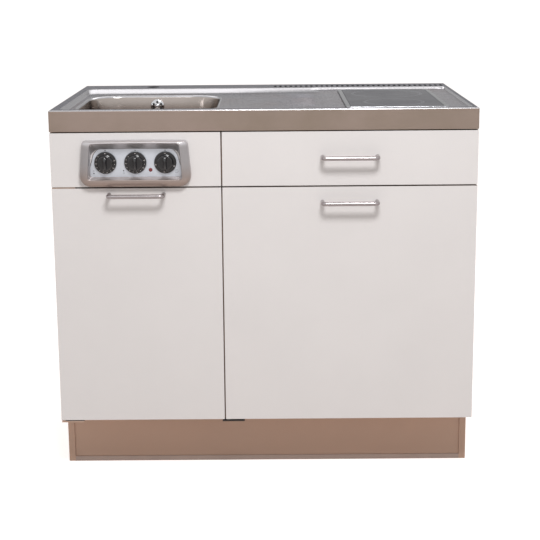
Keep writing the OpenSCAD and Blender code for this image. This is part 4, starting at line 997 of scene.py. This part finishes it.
# Skirt and hub of a knob, as radius and height
KNOB_PROFILE = [(AXIS, 0), (25.4, 0), (26, 0.6), (26, 2.8), (25.2, 3.8), (24, 4), (19.6, 4), (19.2, 4.3),
                (17.6, 10.4), (16.8, 11.2), (15.5, 11.5), (8, 11.6), (AXIS, 11.6)]
GRIP_LENGTH, GRIP_WAIST, GRIP_FLARE = 18.2, 4.6, 1.5  # half length, half width, and what the ends add to it
GRIP_FOOT, GRIP_TOP, GRIP_CROWN = 10, 20.8, 2.2  # heights, and how far the top falls towards the ends
GRIP_SQUARE, GRIP_END, GRIP_TIP = 3.2, 6, 0.55  # powers of the section and the ends; width left at the ends
TOP_ROUND, END_ROUND = 0.55, 0.6  # powers that round the top and the ends off
MARK_RADIUS, MARK_HEIGHT, DOT_LIFT = 22.3, 4.02, 0.01
DIGIT_SIZE, NUMBER_SIZE, MARK_INK = 5.2, 4.2, 0.06  # of one digit and of two, and half a mark's thickness
# Numbers with their angles and dots with their angles and radii, clockwise from the top
POWER_DIAL = ([(str(6 - k), 75 + 47.6 * k) for k in range(6)],
              [(98.8 + 47.6 * k, 0.75) for k in range(5)] + [(0, 1.1)])
TIMER_DIAL = ([("45", 112), ("30", 186), ("15", 258)], [(0, 1.1)])


def grip_bar(bm):
    """Rounded bar across the hub, waisted on both flanks and crowned along its top."""
    made = bmesh.ops.create_grid(bm, x_segments=16, y_segments=40, size=0.5)
    bmesh.ops.holes_fill(bm, edges=list({e for v in made["verts"] for e in v.link_edges if e.is_boundary}))
    for v in made["verts"]:
        u, w = v.co.x * 2, v.co.y * 2
        half = GRIP_WAIST + GRIP_FLARE * w * w
        around = min(1 - abs(u) ** GRIP_SQUARE, 1)
        ends = 1 - abs(w) ** GRIP_END
        rise = GRIP_TOP - GRIP_CROWN * w * w - GRIP_FOOT
        v.co = Vector((half * u * (GRIP_TIP + (1 - GRIP_TIP) * ends), GRIP_LENGTH * w,
                       GRIP_FOOT + rise * around ** TOP_ROUND * ends ** END_ROUND)) * MM


def number_mesh(word):
    """Mesh of a printed number around the origin."""
    curve = bpy.data.curves.new("dial number", "FONT")
    curve.body = word
    curve.size = (DIGIT_SIZE if len(word) < 2 else NUMBER_SIZE) * MM
    curve.align_x = "CENTER"
    curve.align_y = "CENTER"
    curve.extrude = MARK_INK * MM
    holder = bpy.data.objects.new("dial number", curve)
    mesh = bpy.data.meshes.new_from_object(holder)
    bpy.data.objects.remove(holder)
    return mesh


def knob_marks(bm, words, dots):
    """Printed numbers and dots on the skirt."""
    for word, angle in words:
        mesh = number_mesh(word)
        mesh.transform(turn(-angle) @ shift(0, MARK_RADIUS, MARK_HEIGHT))
        bm.from_mesh(mesh)
        bpy.data.meshes.remove(mesh)
    for angle, radius in dots:
        place = turn(-angle) @ shift(0, MARK_RADIUS, MARK_HEIGHT + DOT_LIFT)
        bmesh.ops.create_cone(bm, cap_ends=True, segments=20, radius1=radius * MM, radius2=radius * 0.95 * MM,
                              depth=2 * MARK_INK * MM, matrix=place)


class KITCHENETTE_OT_knobs(bpy.types.Operator):
    """The three knobs with their dials"""
    bl_idname = "kitchenette.knobs"
    bl_label = "Knobs"

    def execute(self, context):
        for i, node, dial in ((-1, "front_zone_knob", POWER_DIAL), (0, "rear_zone_knob", POWER_DIAL),
                              (1, "timer_knob", TIMER_DIAL)):
            place = facing_front(KNOB_X + i * KNOB_STEP, KNOB_Y, KNOB_Z)
            bm = bmesh.new()
            lathe(bm, KNOB_PROFILE, Matrix(), steps=72)
            skirt = set(bm.verts)
            grip_bar(bm)
            bar = [f for f in bm.faces if not set(f.verts) & skirt]
            bmesh.ops.recalc_face_normals(bm, faces=bar)
            if bar[0].normal.z < 0:
                bmesh.ops.reverse_faces(bm, faces=bar)
            bm.transform(place)
            stands_for(piece(node + "_moulding", bm, ["knob_plastic"], node, angle=40), node)
            bm = bmesh.new()
            knob_marks(bm, *dial)
            bmesh.ops.remove_doubles(bm, verts=bm.verts, dist=FINE_WELD)
            bm.transform(place)
            piece(node + "_dial", bm, ["dial_marks"], node, smooth=False)
        return {"FINISHED"}


# ---------- sink waste and hob ----------

ROSETTE_PROFILE = [(AXIS, 0), (17.4, 0), (18, 0.5), (17.9, 1.4), (17, 2.4), (14.5, 3.5), (10, 4.7), (6, 5.2),
                   (5, 5.2), (4.6, 5.8), (3, 6.3), (AXIS, 6.4)]
ROSETTE_DEPTH = 3  # of the dome's back behind the solid's front
# the holes and the screw's slot are thin dark discs and a dark block on the dome: painted shade, no real
# openings
ROSETTE_HOLES, HOLE_REACH, HOLE_RISE, HOLE_TILT = 6, 11, 3.9, 16
HOLE_RADIUS, HOLE_HEIGHT = 3.3, 0.8
SCREW_SLOT, SCREW_SLOT_RISE = (7, 1.1, 0.3), 6.3


class KITCHENETTE_OT_sink_parts(bpy.types.Operator):
    """Domed overflow rosette with painted shade for its holes and its screw's slot, waste, strainer and pipes
    """
    bl_idname = "kitchenette.sink_parts"
    bl_label = "Sink Waste"

    def execute(self, context):
        low, high = box_of("overflow_rosette")
        place = facing_front((low.x + high.x) / 2, low.y + ROSETTE_DEPTH, (low.z + high.z) / 2)
        dome, dark = bmesh.new(), bmesh.new()
        lathe(dome, ROSETTE_PROFILE, place)
        for i in range(ROSETTE_HOLES):
            spot = turn(360 / ROSETTE_HOLES * i + 30) @ shift(HOLE_REACH, 0, HOLE_RISE) @ turn(HOLE_TILT, "Y")
            disc(dark, HOLE_RADIUS, HOLE_HEIGHT, place @ spot)
        bmesh.ops.create_cube(dark, size=1, matrix=place @ shift(0, 0, SCREW_SLOT_RISE) @ Matrix.Diagonal(
            [side * MM for side in SCREW_SLOT] + [1]))
        stands_for(piece("overflow_dome", dome, ["chrome"], "overflow_rosette"), "overflow_rosette")
        piece("overflow_holes", dark, ["dark_hole"], "overflow_rosette", smooth=False)
        dress("overflow_pipe", "waste_flange", "waste_body", "strainer_basket", "bottle_trap", "waste_pipe")
        return {"FINISHED"}


class KITCHENETTE_OT_hob(bpy.types.Operator):
    """Hob frame, glass with its printed zones, tray and heating elements"""
    bl_idname = "kitchenette.hob"
    bl_label = "Hob"

    def execute(self, context):
        eased_piece("hob_frame_ring", "hob_frame", "polished_steel", width=1.4, segments=3)
        eased_piece("hob_glass_plate", "hob_glass", "hob_glass", width=0.8, segments=3)
        dress("hob_tray", "front_heating_element", "rear_heating_element")
        return {"FINISHED"}


# ---------- stage ----------

# Name, place, aim and size of each soft light, in metres
KEY_LIGHT = ("key", (0.25, -1.9, 2.6), (0, -0.1, 0.6), (0.8, 0.5))
WALL_LIGHT = ("wall side", (0, 1.75, 2.4), (0, 0.2, 0.9), (3.2, 0.8))
FLOOR_RADIUS, FLOOR_LIFT = 60, 0.62  # the lift brings the floor that the camera sees towards white
WHITE = (1, 1, 1, 1)
LENS_PIXELS, FRAME_PIXELS, SENSOR = 1226.6, 540, 36
LENS_SHIFT = -0.11
CAMERA_PLACE = (0.0206, -3.1130, 1.2242)
CAMERA_YAW, CAMERA_PITCH, CAMERA_ROLL = -0.16, 11.27, -0.47  # degrees; the pitch is downwards


def soft_light(name, place, aim, size, power):
    """A rectangular soft box that the camera doesn't see."""
    lamp = bpy.data.lights.new(name, "AREA")
    lamp.shape = "RECTANGLE"
    lamp.size, lamp.size_y = size
    lamp.energy = power
    obj = bpy.data.objects.new(name, lamp)
    obj.location = place
    obj.rotation_mode = "QUATERNION"
    obj.rotation_quaternion = (Vector(aim) - Vector(place)).to_track_quat("-Z", "Y")
    obj.visible_camera = False
    bpy.context.scene.collection.objects.link(obj)


def studio_floor(rgb):
    """Pale floor that the camera sees nearly white and that keeps the unit's shadow."""
    bm = bmesh.new()
    bmesh.ops.create_circle(bm, cap_ends=True, segments=96, radius=FLOOR_RADIUS)
    mesh = bpy.data.meshes.new("studio_floor")
    bm.to_mesh(mesh)
    bm.free()
    floor = bpy.data.objects.new("studio_floor", mesh)
    bpy.context.scene.collection.objects.link(floor)
    material, tree, shader = surface("studio_floor", rgb, Roughness=0.9, Emission_Color=WHITE)
    seen = add_node(tree, "ShaderNodeLightPath").outputs["Is Camera Ray"]
    feed(tree, shader, {"Emission Strength": result(tree, "MULTIPLY", seen, FLOOR_LIFT)})
    mesh.materials.append(material)


def studio_world(light):
    """White to the camera, in reflections and through glass; an even light on the rest."""
    world = bpy.data.worlds.new("studio")
    world.use_nodes = True
    bpy.context.scene.world = world
    tree = world.node_tree
    path = add_node(tree, "ShaderNodeLightPath").outputs
    seen = path["Is Camera Ray"]
    for ray in ("Is Glossy Ray", "Is Transmission Ray"):
        seen = result(tree, "MAXIMUM", seen, path[ray])
    strength = add_node(tree, "ShaderNodeMapRange", {"Value": seen, "To Min": light, "To Max": 1.0})
    feed(tree, tree.nodes["Background"], {"Color": WHITE, "Strength": strength.outputs["Result"]})


def photo_camera():
    """Camera at the photograph's place and angle."""
    lens = bpy.data.cameras.new("camera")
    lens.lens = LENS_PIXELS / FRAME_PIXELS * SENSOR
    lens.shift_y = LENS_SHIFT
    camera = bpy.data.objects.new("camera", lens)
    bpy.context.scene.collection.objects.link(camera)
    camera.matrix_world = (Matrix.Translation(CAMERA_PLACE) @ turn(-CAMERA_YAW) @ turn(90 - CAMERA_PITCH, "X")
                           @ turn(CAMERA_ROLL))
    bpy.context.scene.camera = camera


class KITCHENETTE_OT_stage(bpy.types.Operator):
    """Floor, white surroundings, lights and camera"""
    bl_idname = "kitchenette.stage"
    bl_label = "Stage"

    def execute(self, context):
        stage = settings().stage
        studio_floor(stage.floor)
        studio_world(stage.world_light)
        soft_light(*KEY_LIGHT, stage.key_power)
        soft_light(*WALL_LIGHT, stage.top_power)
        context.scene.view_settings.view_transform = "Standard"
        photo_camera()
        return {"FINISHED"}


class KITCHENETTE_PT_panel(bpy.types.Panel):
    """The user's sizes and colours, and a button for each operator"""
    bl_idname = "KITCHENETTE_PT_panel"
    bl_label = "Kitchenette Unit"
    bl_space_type = "VIEW_3D"
    bl_region_type = "UI"
    bl_category = "Kitchenette"

    def draw(self, context):
        for part in ("worktop", "finish", "stage"):
            box = self.layout.box()
            values = getattr(context.scene.kitchenette, part)
            for name in values.__annotations__:
                box.prop(values, name)
        for operator in OPERATORS:
            self.layout.operator(operator.bl_idname)


OPERATORS = (KITCHENETTE_OT_worktop, KITCHENETTE_OT_boards, KITCHENETTE_OT_fittings, KITCHENETTE_OT_controls,
             KITCHENETTE_OT_knobs, KITCHENETTE_OT_sink_parts, KITCHENETTE_OT_hob, KITCHENETTE_OT_stage)
CLASSES = (WorktopSettings, FinishSettings, StageSettings, KitchenetteSettings, *OPERATORS,
           KITCHENETTE_PT_panel)


def register():
    """Registers the classes and hangs the settings on the scene."""
    for each in CLASSES:
        bpy.utils.register_class(each)
    bpy.types.Scene.kitchenette = PointerProperty(type=KitchenetteSettings)


def unregister():
    """Takes the settings and the classes away again."""
    del bpy.types.Scene.kitchenette
    for each in reversed(CLASSES):
        bpy.utils.unregister_class(each)


def main():
    """Builds every piece and the stage."""
    register()
    for operator in OPERATORS:
        getattr(bpy.ops.kitchenette, operator.bl_idname.split(".")[1])()


if __name__ == "__main__":
    main()
